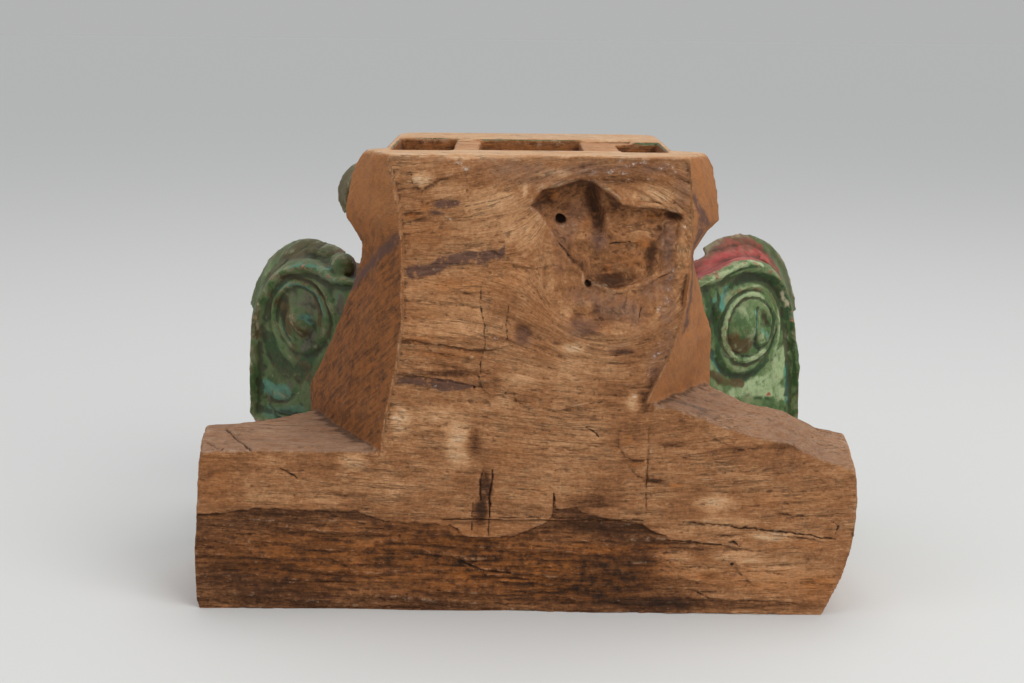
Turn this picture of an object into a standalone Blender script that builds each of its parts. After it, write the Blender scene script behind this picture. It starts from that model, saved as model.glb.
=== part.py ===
import math

import bmesh
import bpy
import numpy as np

# The capital is cut from one baulk of timber. It stands here on its wide abacus with the neck up, and its
# rough unpainted back faces -Y. Depths are measured forward from the back face.
WIDTH = 0.510
HEIGHT = 0.350
DEPTH = 0.320

# Beam across the back
BEAM_DEPTH = 0.135
ARM_TOP_LEFT = 0.128
ARM_TOP_RIGHT = 0.141
ARM_RISE_RIGHT = 0.012
LEDGE_Z = 0.086
LEDGE_STEP = 0.004

# Rear block that stands on the beam
BLOCK_HALF = 0.110
COLLAR_FLARE = 0.033
KNOT_X = 0.079
KNOT_DROP = 0.058
KNOT_HALF_X = 0.050
KNOT_HALF_Z = 0.036
KNOT_DEPTH = 0.017

# Neck and its mortises
NECK_HALF = 0.111
NECK_FRONT = 0.238
STRIP_DEPTH = 0.048
MORTISE_FAR = 0.166
MORTISE_DEPTH = 0.038
MORTISE_HALF = 0.040
SIDE_MORTISE_IN = 0.064
SIDE_MORTISE_OUT = 0.104
WEB_DROP = 0.0025

# Bell and abacus
BELL_HALF = 0.128
BELL_FRONT = 0.246
ABACUS_HEIGHT = 0.104
ABACUS_SETBACK = 0.005
ABACUS_HOLLOW = 0.034
ABACUS_STEP = 0.008
FLOWER_RADIUS = 0.026

# Corner volutes
VOLUTE_TURN = 35.0
VOLUTE_EYE_IN = 0.061
VOLUTE_EYE_DEPTH = 0.200
VOLUTE_EYE_Z = 0.188
VOLUTE_RIM = 0.061
VOLUTE_FLARE = 1.13
VOLUTE_DISC = 0.0325
VOLUTE_DOME = 0.009
VOLUTE_GROOVE = 0.007
BEAD_RADIUS = 0.0115

# Acanthus leaves on the bell and short petals at the neck
PETAL_LENGTH = 0.074
PETAL_THICK = 0.019
PETAL_HALF = 0.030
PETAL_TOP_DROP = 0.016
LEAF_HALF = 0.052
LEAF_TOP_DROP = 0.034
LEAF_LENGTH = 0.222
LEAF_THICK = 0.010

# Places that follow from these sizes
BEAM_END = WIDTH / 2
ABACUS_HALF = BEAM_END - ABACUS_SETBACK
VOLUTE_EYE_X = BEAM_END - VOLUTE_EYE_IN
ARM_TOP = 0.5 * (ARM_TOP_LEFT + ARM_TOP_RIGHT)


def smooth(low, high, value):
    t = np.clip((value - low) / (high - low), 0.0, 1.0)
    return t * t * (3.0 - 2.0 * t)


def bump(value, centre, half):
    return np.exp(-(((value - centre) / half) ** 2))


def between(shares, low=ARM_TOP, high=HEIGHT):
    """Heights at given shares of the rise from the arms to the top."""
    return [low + share * (high - low) for share in shares]


# Closed shells
def new_object(name, points, faces):
    """One closed shell from points (x, depth, z) and faces, facing out."""
    mesh = bpy.data.meshes.new(name)
    mesh.from_pydata([(x, d - DEPTH / 2, z) for x, d, z in points], [], faces)
    work = bmesh.new()
    work.from_mesh(mesh)
    bmesh.ops.remove_doubles(work, verts=work.verts, dist=1e-6)
    bmesh.ops.triangulate(work, faces=work.faces)
    bmesh.ops.recalc_face_normals(work, faces=work.faces)
    if work.calc_volume(signed=True) < 0:
        bmesh.ops.reverse_faces(work, faces=work.faces)
    work.to_mesh(mesh)
    work.free()
    made = bpy.data.objects.new(name, mesh)
    bpy.context.scene.collection.objects.link(made)
    return made


def loft(name, loops):
    """Joins loops of the same number of points, and closes both ends."""
    count = len(loops[0])
    points = [tuple(p) for loop in loops for p in loop]
    faces = []
    for i in range(len(loops) - 1):
        for j in range(count):
            k = (j + 1) % count
            faces.append((i * count + j, i * count + k, (i + 1) * count + k, (i + 1) * count + j))
    faces.append(tuple(range(count))[::-1])
    faces.append(tuple(range(len(points) - count, len(points))))
    return new_object(name, points, faces)


def sheet(name, front, back):
    """A closed shell between two grids of points of the same size."""
    rows, columns = len(front), len(front[0])
    points = [tuple(p) for row in front for p in row] + [tuple(p) for row in back for p in row]
    half = rows * columns
    faces = []
    for i in range(rows - 1):
        for j in range(columns - 1):
            a = i * columns + j
            b, c, d = a + 1, a + columns + 1, a + columns
            faces += [(a, b, c, d), (half + d, half + c, half + b, half + a)]
    edge = list(range(columns))
    edge += [i * columns + columns - 1 for i in range(1, rows)]
    edge += [(rows - 1) * columns + j for j in range(columns - 2, -1, -1)]
    edge += [i * columns for i in range(rows - 2, 0, -1)]
    for i, a in enumerate(edge):
        b = edge[(i + 1) % len(edge)]
        faces.append((a, half + a, half + b, b))
    return new_object(name, points, faces)


def box(name, x0, x1, d0, d1, z0, z1):
    ring = [(x0, d0), (x1, d0), (x1, d1), (x0, d1)]
    return loft(name, [[(x, d, z0) for x, d in ring], [(x, d, z1) for x, d in ring]])


# Rough back: the beam, lofted from end to end
def arm_top(x):
    """Height of the arms at the back face. The left one is level and the right one falls to its end."""
    left = ARM_TOP_LEFT - 0.002 * smooth(0.023, 0.0, BEAM_END + x)
    right = ARM_TOP_RIGHT + 0.025 * smooth(0.180, 0.094, x) - 0.024 * smooth(0.075, 0.005, BEAM_END - x)
    return left if x < 0 else right


def arm_depth(x):
    """How far the top of an arm runs forward before it drops to the abacus."""
    if x < 0:
        return 0.090 + 0.050 * smooth(0.030, 0.090, BEAM_END + x)
    return 0.066 + 0.050 * smooth(0.170, 0.120, x)


def ledge_height(x):
    """The long split runs level on the left, dips under the middle and runs on to the right."""
    return LEDGE_Z - 0.018 * smooth(-0.150, -0.020, x) - 0.006 * smooth(0.060, 0.130, x)


def back_wave(x, z):
    """Broad hollows and swells left by the axe."""
    wave = 0.0014 * math.sin(23 * x + 61 * z) + 0.0012 * math.sin(41 * x - 34 * z + 1.7)
    return 0.0031 + wave + 0.0009 * math.sin(7 * x + 118 * z + 0.6)


def behind_block(x):
    """How far the beam's own face lies back where the block's face covers it."""
    return 0.006 * smooth(-0.108, -0.098, x) * smooth(0.094, 0.084, x)


def end_shift(x, d, z):
    """Draws the two sawn ends in, by height, to their worn outlines."""
    left = np.interp(z, [0.0, 0.011, 0.059, 0.114, 0.150], [0.004, 0.0, 0.002, 0.007, 0.012])
    left *= 1 - min(1.0, d / 0.080)
    heights = [0.0, 0.009, 0.013, 0.031, 0.043, 0.082, 0.150]
    right = np.interp(z, heights, [0.025, 0.021, 0.009, 0.011, 0.006, 0.001, 0.008])
    worn = 0.0015 * smooth(0.02, 0.0, d)
    near_left, near_right = smooth(0.050, 0.0, BEAM_END + x) ** 2, smooth(0.050, 0.0, BEAM_END - x) ** 2
    return near_left * (left + worn) - near_right * (right + worn)


def beam():
    loops = []
    for x in np.linspace(-BEAM_END, BEAM_END, 19):
        top, ledge, depth = arm_top(x), ledge_height(x), arm_depth(x)
        rise = 0.001 + ARM_RISE_RIGHT * smooth(0.0, 0.12, x)
        low = LEDGE_STEP * (0.6 + 0.4 * math.sin(31 * x + 0.5)) * smooth(0.215, 0.150, x)
        ring = [
            (low + 0.003, 0.0),
            (low + back_wave(x, 0.008), 0.007),
            (low + back_wave(x, 0.045), 0.5 * ledge),
            (low + back_wave(x, ledge), ledge - 0.004),
            (back_wave(x, ledge) + behind_block(x), ledge + 0.003),
            (back_wave(x, 0.106) + behind_block(x), 0.5 * (ledge + top)),
            (back_wave(x, top) * 0.5 + behind_block(x), top - 0.010),
            (0.009, top - 0.001),
            (0.5 * depth, top + 0.6 * rise),
            (depth - 0.010, top + rise),
            (depth, top + rise - 0.010),
            (BEAM_DEPTH, 0.070),
            (BEAM_DEPTH, 0.0),
        ]
        loops.append([(x + end_shift(x, d, z), d, z) for d, z in ring])
    return loft("beam", loops)


# Rough back: the rear block, lofted upward, with the knot hollow in its face
def knot_hollow(x, z):
    """Depth of the rotted knot below the face."""
    u, v = (x - KNOT_X) / KNOT_HALF_X, (z - HEIGHT + KNOT_DROP) / KNOT_HALF_Z
    lean = u + 0.35 * v
    bowl = 1.0 - smooth(0.45, 1.12, math.hypot(lean, v))
    tongue = bump(lean, -0.15, 0.16) * bump(v, 0.25, 0.6)
    pit = 0.45 * bump(u, 0.02, 0.30) * bump(v, -0.85, 0.30)
    return KNOT_DEPTH * (bowl * (1.0 - 0.55 * tongue) + pit)


def block_edges(z):
    """Edges of the block at a height: left near and far, right near and far, and the two far depths."""
    levels = between([0.0116, 0.2065, 0.3968, 0.6752, 0.8144, 0.9814])
    left_near = np.interp(z, levels, [0.1095, 0.1005, 0.0935, 0.0935, 0.0955, 0.1035])
    levels = between([0.1462, 0.3364, 0.471, 0.7123, 0.884, 0.9814])
    right_near = np.interp(z, levels, [0.0895, 0.1085, 0.1165, 0.1225, 0.1195, 0.1175])
    levels = between([0.0534, 0.1601, 0.3132, 0.4849, 0.6427, 0.7077, 0.7633, 0.8329, 0.9026, 0.9722, 1])
    reach = [0.1795, 0.1685, 0.1535, 0.138, 0.1265, 0.134, 0.1420, 0.1385, 0.1350, 0.129, 0.122]
    left_far = np.interp(z, levels, reach)
    levels = between([0.1555, 0.3364, 0.4292, 0.6659, 0.7077, 0.7587, 0.8608, 0.9722, 1])
    reach = [0.1475, 0.1465, 0.1385, 0.1255, 0.1360, 0.1465, 0.1430, 0.1385, 0.131]
    right_far = np.interp(z, levels, reach)
    levels = between([0.0255, 0.1462, 0.4246, 0.6613, 0.8329, 1])
    left_depth = np.interp(z, levels, [0.146, 0.130, 0.088, 0.062, 0.054, 0.048])
    right_depth = np.interp(z, levels[1:], [0.096, 0.075, 0.060, 0.052, 0.046])
    scale, flare = BLOCK_HALF / 0.110, COLLAR_FLARE - 0.033
    left_far, right_far = left_far + flare, right_far + flare
    return -left_near * scale, -left_far, right_near * scale, right_far, left_depth, right_depth


def rear_block():
    loops = []
    heights = [LEDGE_Z - 0.012, LEDGE_Z + 0.012, ARM_TOP_LEFT - 0.004]
    heights += between([0.0626, 0.1555, 0.2343, 0.3271, 0.42, 0.4988, 0.5545, 0.6056])
    heights += between([0.6566, 0.7077, 0.7587, 0.8051, 0.8515, 0.8979, 0.9443, 0.9814]) + [HEIGHT - 0.0001]
    for z in heights:
        left, left_far, right, right_far, left_depth, right_depth = block_edges(z)
        ring = []
        for i in range(17):
            x = left + (right - left) * i / 16
            below = smooth(ARM_TOP + 0.0155, ARM_TOP - 0.0095, z)
            edge = min(1.0, min(i, 16 - i) / 4 + 0.3 + 0.7 * below)
            d = back_wave(x, z) * edge + knot_hollow(x, z) - 0.0008 * below
            d += 0.004 * smooth(HEIGHT - 0.010, HEIGHT, z)
            ring.append((x, d, z))
        ring.append((0.5 * (right + right_far), 0.42 * right_depth, z))
        ring.append((right_far, right_depth, z))
        ring.append((0.70 * NECK_HALF, min(right_depth + 0.035, 0.140), z))
        ring.append((-0.70 * NECK_HALF, min(left_depth + 0.035, 0.155), z))
        ring.append((left_far, left_depth, z))
        ring.append((0.5 * (left + left_far), 0.42 * left_depth, z))
        loops.append(ring)
    return loft("rear_block", loops)


# Core behind the block: neck and bell in one loft
def squared_ring(half, back, front, power, count, z):
    """A ring between round and square, with x to the sides and depth back to front."""
    middle, reach = 0.5 * (back + front), 0.5 * (front - back)
    ring = []
    for i in range(count):
        a = 2 * math.pi * i / count
        c, s = math.cos(a), math.sin(a)
        x = half * math.copysign(abs(c) ** (2 / power), c)
        ring.append((x, middle + reach * math.copysign(abs(s) ** (2 / power), s), z))
    return ring


def core():
    bell, neck = BELL_HALF, NECK_HALF
    bell_z = between([0.187, 0.391, 0.594, 0.756], ABACUS_HEIGHT)
    levels = [
        (0.4 * ABACUS_HEIGHT, 1.16 * bell, 1.06 * BELL_FRONT, 3.0),
        (ABACUS_HEIGHT + 0.001, 1.16 * bell, 1.06 * BELL_FRONT, 3.0),
        (bell_z[0], 1.06 * bell, 1.02 * BELL_FRONT, 3.2),
        (bell_z[1], 1.00 * bell, 1.00 * BELL_FRONT, 3.4),
        (bell_z[2], 0.5 * (bell + neck), 0.5 * (BELL_FRONT + NECK_FRONT), 4.0),
        (bell_z[3], neck + 0.002, NECK_FRONT, 6.0),
        (HEIGHT - 0.030, neck, NECK_FRONT, 9.0),
        (HEIGHT - 0.005, neck, NECK_FRONT, 12.0),
        (HEIGHT, neck - 0.002, NECK_FRONT - 0.003, 12.0),
    ]
    rings = [squared_ring(half, 0.030, front, power, 36, z) for z, half, front, power in levels]
    return loft("wooden_capital", rings)


# Abacus: hollow front, clipped corners, a fillet over a flat board
def abacus_ring(inset, z):
    half, front = ABACUS_HALF - inset, DEPTH - inset
    left = [(-half + 0.040, BEAM_DEPTH - 0.035), (-half + 0.034, BEAM_DEPTH + 0.003)]
    for t in (0.33, 0.66, 1.0):
        left.append((-half + 0.034 * (1 - smooth(0, 1, t)), 0.150 + 0.125 * t))
    left.append((-half + 0.002, front - 0.020))
    ring = list(left)
    for i in range(13):
        t = i / 12
        hollow = ABACUS_HOLLOW * (1 - (2 * t - 1) ** 2)
        ring.append((-half + 0.020 + (2 * half - 0.040) * t, front - hollow))
    ring += [(-x, d) for x, d in left[::-1]]
    return [(x, d, z) for x, d in ring]


def abacus():
    step, height = ABACUS_STEP, ABACUS_HEIGHT
    sections = [(0.003, 0.0), (0.0, 0.004), (0.0, 0.55 * height), (step, 0.62 * height)]
    sections += [(2.2 * step, 0.85 * height), (1.6 * step, 0.90 * height), (1.8 * step, height)]
    return loft("abacus", [abacus_ring(inset, z) for inset, z in sections])


# Corner volutes: plates that stand on the abacus corners, carved on both faces
def volute_edge(angle, side):
    """Radius of the outer edge about the eye, by angle in degrees from the outward direction."""
    a = math.radians(angle)
    if side > 0:
        turns = [-60, -40, -31, -18, 3, 24, 49, 76, 100, 116, 128, 140, 150]
        sizes = [124, 80, 69.5, 60, 52.3, 50.5, 54, 57, 60.5, 63, 66, 74, 86]
    else:
        turns = [-60, -36, -24, -8, 7, 29, 58, 90, 106, 120, 134, 142, 150]
        sizes = [122, 75.6, 66, 58.8, 55, 50.5, 49.5, 52, 54, 56, 60, 68, 84]
    if -60 <= angle <= 150:
        reach = np.interp(angle, turns, sizes) / 1000
    elif math.cos(a) < -0.01:
        reach = min(0.140, 0.074 / -math.cos(a))
    else:
        reach = 0.124
    if math.cos(a) > 0.01:
        reach = min(reach, 0.061 / math.cos(a))
    if math.sin(a) < -0.2:
        reach = min(reach, 0.100 / -math.sin(a))
    return reach


def volute_height(p, q, edge, r):
    """Relief of a carved face: rib, channel, second ring, disc rim and a snail-like boss."""
    ring = 0.0425 - math.hypot(p + 0.005, q + 0.004)
    inside = edge - r
    height = -VOLUTE_GROOVE * smooth(0.004, 0.012, inside)
    height += 0.0050 * smooth(-0.004, 0.002, ring) - 0.0035 * smooth(0.002, 0.007, ring)
    height += 0.0065 * smooth(VOLUTE_DISC + 0.003, VOLUTE_DISC - 0.001, r)
    height += VOLUTE_DOME * smooth(VOLUTE_DISC - 0.006, 0.004, math.hypot(p - 0.006, q + 0.002))
    height -= 0.004 * bump(r, VOLUTE_DISC - 0.006, 0.003)
    return height - 0.003 * smooth(0.003, 0.0, inside)


def volute_radii(a, edge):
    """Radii of the rings of a face at one angle, from the edge to the eye, each inside the one before."""
    ring = 0.042 - 0.005 * math.cos(a) - 0.004 * math.sin(a)
    radii = [edge, edge - 0.0045, edge - 0.0125, ring + 0.003, ring - 0.003]
    radii += [VOLUTE_DISC, VOLUTE_DISC - 0.0055, 0.5 * VOLUTE_DISC, 0.2 * VOLUTE_DISC]
    for k in range(1, len(radii)):
        radii[k] = min(radii[k], radii[k - 1] - 0.0012)
    return radii


def volute(side):
    turn = math.radians(VOLUTE_TURN)
    along = np.array([side * math.cos(turn), math.sin(turn), 0.0])
    out = np.array([side * math.sin(turn), -math.cos(turn), 0.0])
    up = np.array([0.0, 0.0, 1.0])
    eye = np.array([side * VOLUTE_EYE_X, VOLUTE_EYE_DEPTH, VOLUTE_EYE_Z + 0.002 * (side < 0)])
    count = 32

    def face_rings(front):
        rings = [[] for _ in range(9)]
        for i in range(count):
            angle = -60 + 360 * i / count
            angle -= 360 * (angle > 235)
            a = math.radians(angle)
            edge = volute_edge(angle, side)
            for k, r in enumerate(volute_radii(a, edge)):
                p, q = r * math.cos(a), r * math.sin(a)
                height = volute_height(p, q, edge, r)
                if front:
                    grown = 1 + (VOLUTE_FLARE - 1) * smooth(0.02, 0.05, r)
                    point = eye + (along * p + up * q) * grown - out * height
                    rings[k].append(point + np.array([0.0, VOLUTE_RIM, 0.0]))
                else:
                    rings[k].append(eye + along * p + up * q + out * height)
        return [np.array(ring) for ring in rings]

    back_rings, front_rings = face_rings(False), face_rings(True)
    near, far = back_rings[0], front_rings[0]
    middle = eye + np.array([0.0, 0.5 * VOLUTE_RIM, 0.0])
    rim = []
    for t, sink in ((0.22, 0.060), (0.55, 0.085), (0.85, 0.035)):
        loop = near + (far - near) * t
        rim.append(loop - (loop - middle) * np.array([1.0, 0.2, 1.0]) * sink)
    return loft("volute_left" if side < 0 else "volute_right", back_rings[::-1] + rim + front_rings)


def bead(name, x, depth, z, radius):
    """The round tip between the left volute and the block."""
    loops = []
    for i in range(1, 7):
        b = math.pi * i / 7
        ring = []
        for j in range(10):
            a = 2 * math.pi * j / 10
            across, ahead = radius * math.sin(b) * math.cos(a), radius * math.sin(b) * math.sin(a)
            ring.append((x + across, depth + 1.6 * ahead, z + radius * math.cos(b)))
        loops.append(ring)
    return loft(name, loops)


# Leaves
def placed(origin, facing, across, outward, z):
    """A point beside and in front of an origin (x, depth), looking along an angle from straight ahead."""
    a = math.radians(facing)
    x = origin[0] + math.sin(a) * outward + math.cos(a) * across
    return (x, origin[1] + math.cos(a) * outward - math.sin(a) * across, z)


def curve_of(length, turns, start, rows):
    """Rows (out, z, angle) of a curve from a start. Its direction turns by angle: 0 is down, 90 outward."""
    out, z = start
    points = []
    for i in range(rows):
        points.append((out, z, math.radians(np.interp(i / (rows - 1), *turns))))
        a = math.radians(np.interp((i + 0.5) / (rows - 1), *turns))
        out += math.sin(a) * length / (rows - 1)
        z -= math.cos(a) * length / (rows - 1)
    return points


def petal(name, origin, facing, size=1.0):
    """A short pointed leaf that springs from the neck and droops, with a hollow under its rolled tip."""
    rows, columns = 8, 7
    turns = ([0.0, 0.40, 0.75, 1.0], [94, 62, 4, -34])
    start = (0.0, HEIGHT - PETAL_TOP_DROP)
    front, back = [], []
    for i, (out, z, a) in enumerate(curve_of(PETAL_LENGTH * size, turns, start, rows)):
        v = i / (rows - 1)
        half = PETAL_HALF * size * (0.86 + 0.14 * math.sin(2.6 * v)) * (1 - smooth(0.40, 1.20, v) ** 1.3)
        front.append([])
        back.append([])
        for j in range(columns):
            u = -1 + 2 * j / (columns - 1)
            sag = 0.007 * size * abs(u) ** 1.5 * (1 - 0.3 * v)
            rib = 0.0025 * bump(u, 0.0, 0.3)
            under = sag + PETAL_THICK * (1 - 0.25 * v) * (1 - 0.35 * u * u)
            lift, across = rib - sag, half * u
            c, s = math.cos(a), math.sin(a)
            front[-1].append(placed(origin, facing, across, out + lift * c, z + lift * s))
            back[-1].append(placed(origin, facing, 0.9 * across, out - under * c, z - under * s))
    return sheet(name, front, back)


def leaf(name, origin, facing, half, top, length, turns, lobes):
    """A lobed acanthus leaf that hangs on the bell, with its tip rolled outward."""
    rows, columns = 13, 9
    front, back = [], []
    for i, (out, z, a) in enumerate(curve_of(length, turns, (0.0, top), rows)):
        v = i / (rows - 1)
        width = half * (0.70 + 0.30 * math.sin(math.pi * min(1.0, 1.15 * v)))
        width *= math.sqrt(max(0.10, 1 - smooth(0.66, 1.08, v)))
        width *= 1 - 0.20 * abs(math.cos(math.pi * lobes * v)) ** 3
        front.append([])
        back.append([])
        for j in range(columns):
            u = -1 + 2 * j / (columns - 1)
            rib = 0.006 * bump(u, 0.0, 0.18)
            vein = 0.006 * math.cos(math.pi * (2 * lobes * v - 1.5 * abs(u))) * abs(u) * (1.15 - abs(u))
            bulge = 0.004 * math.sin(math.pi * min(1.0, 1.2 * v))
            lift = rib + vein + bulge - 0.004 * u * u
            thick = LEAF_THICK * (2.1 - 1.3 * smooth(0.3, 0.8, v)) * (1 - 0.2 * u * u)
            under, across = bulge - 0.004 * u * u - thick, width * u
            c, s = math.cos(a), math.sin(a)
            low = z - 0.010 * abs(u) * (1 - v)
            front[-1].append(placed(origin, facing, across, out + lift * c, low + lift * s))
            back[-1].append(placed(origin, facing, 0.9 * across, out + under * c, low + under * s))
    return sheet(name, front, back)


def hood(name, side, near, far):
    """The lobed leaf that wraps the front of a volute's rim, from over the top to the outer edge."""
    turn = math.radians(VOLUTE_TURN)
    along = np.array([side * math.cos(turn), math.sin(turn), 0.0])
    eye = np.array([side * VOLUTE_EYE_X, VOLUTE_EYE_DEPTH + VOLUTE_RIM, VOLUTE_EYE_Z])
    rows, columns = 13, 7
    front, back = [], []
    for i in range(rows):
        v = i / (rows - 1)
        angle = 128 - 130 * v
        a = math.radians(angle)
        rim = volute_edge(angle, side) * VOLUTE_FLARE
        outward = along * math.cos(a) + np.array([0.0, 0.0, math.sin(a)])
        full = math.sin(math.pi * (0.30 + 0.60 * v)) ** 0.5 * (1 - 0.35 * smooth(0.75, 1.0, v))
        lobe = 1 - 0.24 * abs(math.cos(math.pi * 3.5 * v)) ** 3
        front.append([])
        back.append([])
        for j in range(columns):
            u = -1 + 2 * j / (columns - 1)
            reach = (far if u > 0 else near) * abs(u) * full * lobe
            vein = 0.0022 * math.cos(math.pi * (7 * v - 1.4 * abs(u))) * abs(u)
            out = rim + 0.0045 + 0.0025 * bump(u, 0.0, 0.3) + vein - 0.005 * u * u
            depth = np.array([0.0, reach if u > 0 else -reach, 0.0])
            front[-1].append(eye + outward * out + depth)
            back[-1].append(eye + outward * (out - 0.0095) + 0.9 * depth)
    return sheet(name, front, back)


def flower(name, x, depth, z, radius):
    """A small rosette at the middle of the abacus."""
    loops = []
    count = 24
    steps = ((1.0, -0.010), (1.0, 0.004), (0.82, 0.011), (0.45, 0.006), (0.34, 0.012), (0.12, 0.015))
    for r, h in steps:
        loop = []
        for i in range(count):
            a = 2 * math.pi * i / count
            lobe = 1 - 0.12 * (0.5 - 0.5 * math.cos(6 * a)) * (r > 0.5)
            loop.append((x + radius * r * lobe * math.cos(a), depth + h, z + radius * r * lobe * math.sin(a)))
        loops.append(loop)
    return loft(name, loops)


def all_leaves():
    """Seven petals round the neck, three leaves on the bell, and a hood over each volute."""
    made = []
    side, front = NECK_HALF, NECK_FRONT - 0.006
    made.append(petal("petal_side_left", (-side, 0.150), -90))
    made.append(petal("petal_side_right", (side, 0.150), 90))
    made.append(petal("petal_corner_left", (-side + 0.012, front - 0.012), -45, 0.95))
    made.append(petal("petal_corner_right", (side - 0.012, front - 0.012), 45, 0.95))
    for i in (-1, 0, 1):
        made.append(petal(f"petal_front_{i + 1}", (0.058 * i, front), 0, 0.85))
    broad = ([0.0, 0.58, 0.78, 0.90, 1.0], [4, 5, 28, 104, 168])
    start = (0.0, NECK_FRONT + 0.006)
    top = HEIGHT - LEAF_TOP_DROP
    made.append(leaf("leaf_front", start, 0, LEAF_HALF, top, LEAF_LENGTH, broad, 5))
    beside = ([0.0, 0.50, 0.76, 0.90, 1.0], [6, 11, 38, 100, 160])
    for s in (-1, 1):
        start, half, length = (0.096 * s, NECK_FRONT - 0.010), 0.72 * LEAF_HALF, 0.88 * LEAF_LENGTH
        made.append(leaf(f"leaf_{s}", start, 26 * s, half, top - 0.020, length, beside, 4))
    made.append(hood("hood_left", -1, 0.020, 0.014))
    made.append(hood("hood_right", 1, 0.009, 0.014))
    return made


# One solid from the shells, then the mortises
for old in list(bpy.data.objects):
    bpy.data.objects.remove(old)

body = core()
shells = [beam(), rear_block(), abacus(), volute(-1), volute(1)]
shells += all_leaves()
hollow = DEPTH - ABACUS_HOLLOW - 0.004
shells.append(flower("flower", 0.0, hollow, 0.5 * ABACUS_HEIGHT, FLOWER_RADIUS))
bead_place = (0.038 - VOLUTE_EYE_X, VOLUTE_EYE_DEPTH - 0.004, VOLUTE_EYE_Z + 0.051)
shells.append(bead("bead", *bead_place, BEAD_RADIUS))

group = bpy.data.collections.new("shells")
bpy.context.scene.collection.children.link(group)
for shell in shells:
    bpy.context.scene.collection.objects.unlink(shell)
    group.objects.link(shell)
    shell.hide_render = True
    shell.display_type = "WIRE"

joined = body.modifiers.new("shells", "BOOLEAN")
joined.operation = "UNION"
joined.operand_type = "COLLECTION"
joined.collection = group
joined.solver = "EXACT"

top, floor = HEIGHT + 0.010, HEIGHT - MORTISE_DEPTH
strip, far = STRIP_DEPTH, MORTISE_FAR
inner, outer = SIDE_MORTISE_IN, SIDE_MORTISE_OUT
mortises = [
    box("mortise_middle", 0.002 - MORTISE_HALF, 0.002 + MORTISE_HALF, strip, far, floor, top),
    box("mortise_left", -outer, 0.005 - inner, strip - 0.006, far + 0.008, floor + 0.004, top),
    box("mortise_right", 0.007 + inner, outer, strip - 0.010, far - 0.020, floor + 0.006, top),
    box("web_cut", -0.080, 0.086, strip + 0.001, far - 0.001, HEIGHT - WEB_DROP, top - 0.001),
]
for cutter in mortises:
    cutter.hide_render = True
    cutter.display_type = "WIRE"
    cut = body.modifiers.new(cutter.name, "BOOLEAN")
    cut.operation = "DIFFERENCE"
    cut.object = cutter
    cut.solver = "EXACT"

wood = bpy.data.materials.new("painted_wood")
wood.use_nodes = True
shader = wood.node_tree.nodes["Principled BSDF"]
shader.inputs["Base Color"].default_value = (0.30, 0.15, 0.07, 1.0)
shader.inputs["Roughness"].default_value = 0.75
body.data.materials.append(wood)
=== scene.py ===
import math

import bpy
import numpy as np
from mathutils import Matrix


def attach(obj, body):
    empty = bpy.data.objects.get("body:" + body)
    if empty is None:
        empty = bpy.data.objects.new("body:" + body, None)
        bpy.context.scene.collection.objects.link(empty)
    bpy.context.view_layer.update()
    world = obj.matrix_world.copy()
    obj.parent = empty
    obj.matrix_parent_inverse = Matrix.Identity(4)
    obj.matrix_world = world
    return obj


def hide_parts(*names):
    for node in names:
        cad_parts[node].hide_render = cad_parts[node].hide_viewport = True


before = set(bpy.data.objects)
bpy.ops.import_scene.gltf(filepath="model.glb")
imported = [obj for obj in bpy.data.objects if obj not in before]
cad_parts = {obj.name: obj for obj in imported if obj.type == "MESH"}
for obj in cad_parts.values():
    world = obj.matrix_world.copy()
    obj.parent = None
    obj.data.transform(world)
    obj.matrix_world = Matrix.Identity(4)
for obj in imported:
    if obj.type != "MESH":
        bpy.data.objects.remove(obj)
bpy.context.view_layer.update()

# The baulk. The whole capital is cut from one block of hardwood, so it is one piece here too: a close skin
# over the solid, which each later section carves in place. Lengths in the carving sections are millimetres.
SKIN_STEP = 0.0017
BACK_DEPTH = 160.0

bpy.ops.object.select_all(action="DESELECT")
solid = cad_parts["wooden_capital"]
solid.select_set(True)
bpy.context.view_layer.objects.active = solid
bpy.ops.object.duplicate()
capital = bpy.context.object
capital.name = "carved_capital"
capital.parent = None
for key in list(capital.keys()):
    del capital[key]
bpy.ops.object.mode_set(mode="EDIT")
bpy.ops.mesh.select_all(action="SELECT")
bpy.ops.mesh.remove_doubles(threshold=1e-5)
bpy.ops.object.mode_set(mode="OBJECT")


def finish_modifier(kind, **settings):
    """Adds one modifier to the capital and applies it."""
    modifier = capital.modifiers.new(kind.lower(), kind)
    for name, value in settings.items():
        setattr(modifier, name, value)
    bpy.ops.object.modifier_apply(modifier=modifier.name)


def skin():
    """Points of the capital in millimetres as (x, depth from the back, z), and its normals."""
    mesh = capital.data
    points = np.empty(len(mesh.vertices) * 3)
    normals = np.empty(len(mesh.vertices) * 3, np.float32)
    mesh.vertices.foreach_get("co", points)
    mesh.vertices.foreach_get("normal", normals)
    points = points.reshape(-1, 3) * 1000
    points[:, 1] += BACK_DEPTH
    return points, normals.reshape(-1, 3).astype(float)


def put_skin(points):
    moved = points.copy()
    moved[:, 1] -= BACK_DEPTH
    capital.data.vertices.foreach_set("co", (moved / 1000).ravel())
    capital.data.update()


finish_modifier("REMESH", mode="VOXEL", voxel_size=SKIN_STEP)
finish_modifier("SMOOTH", factor=0.5, iterations=2)

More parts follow.
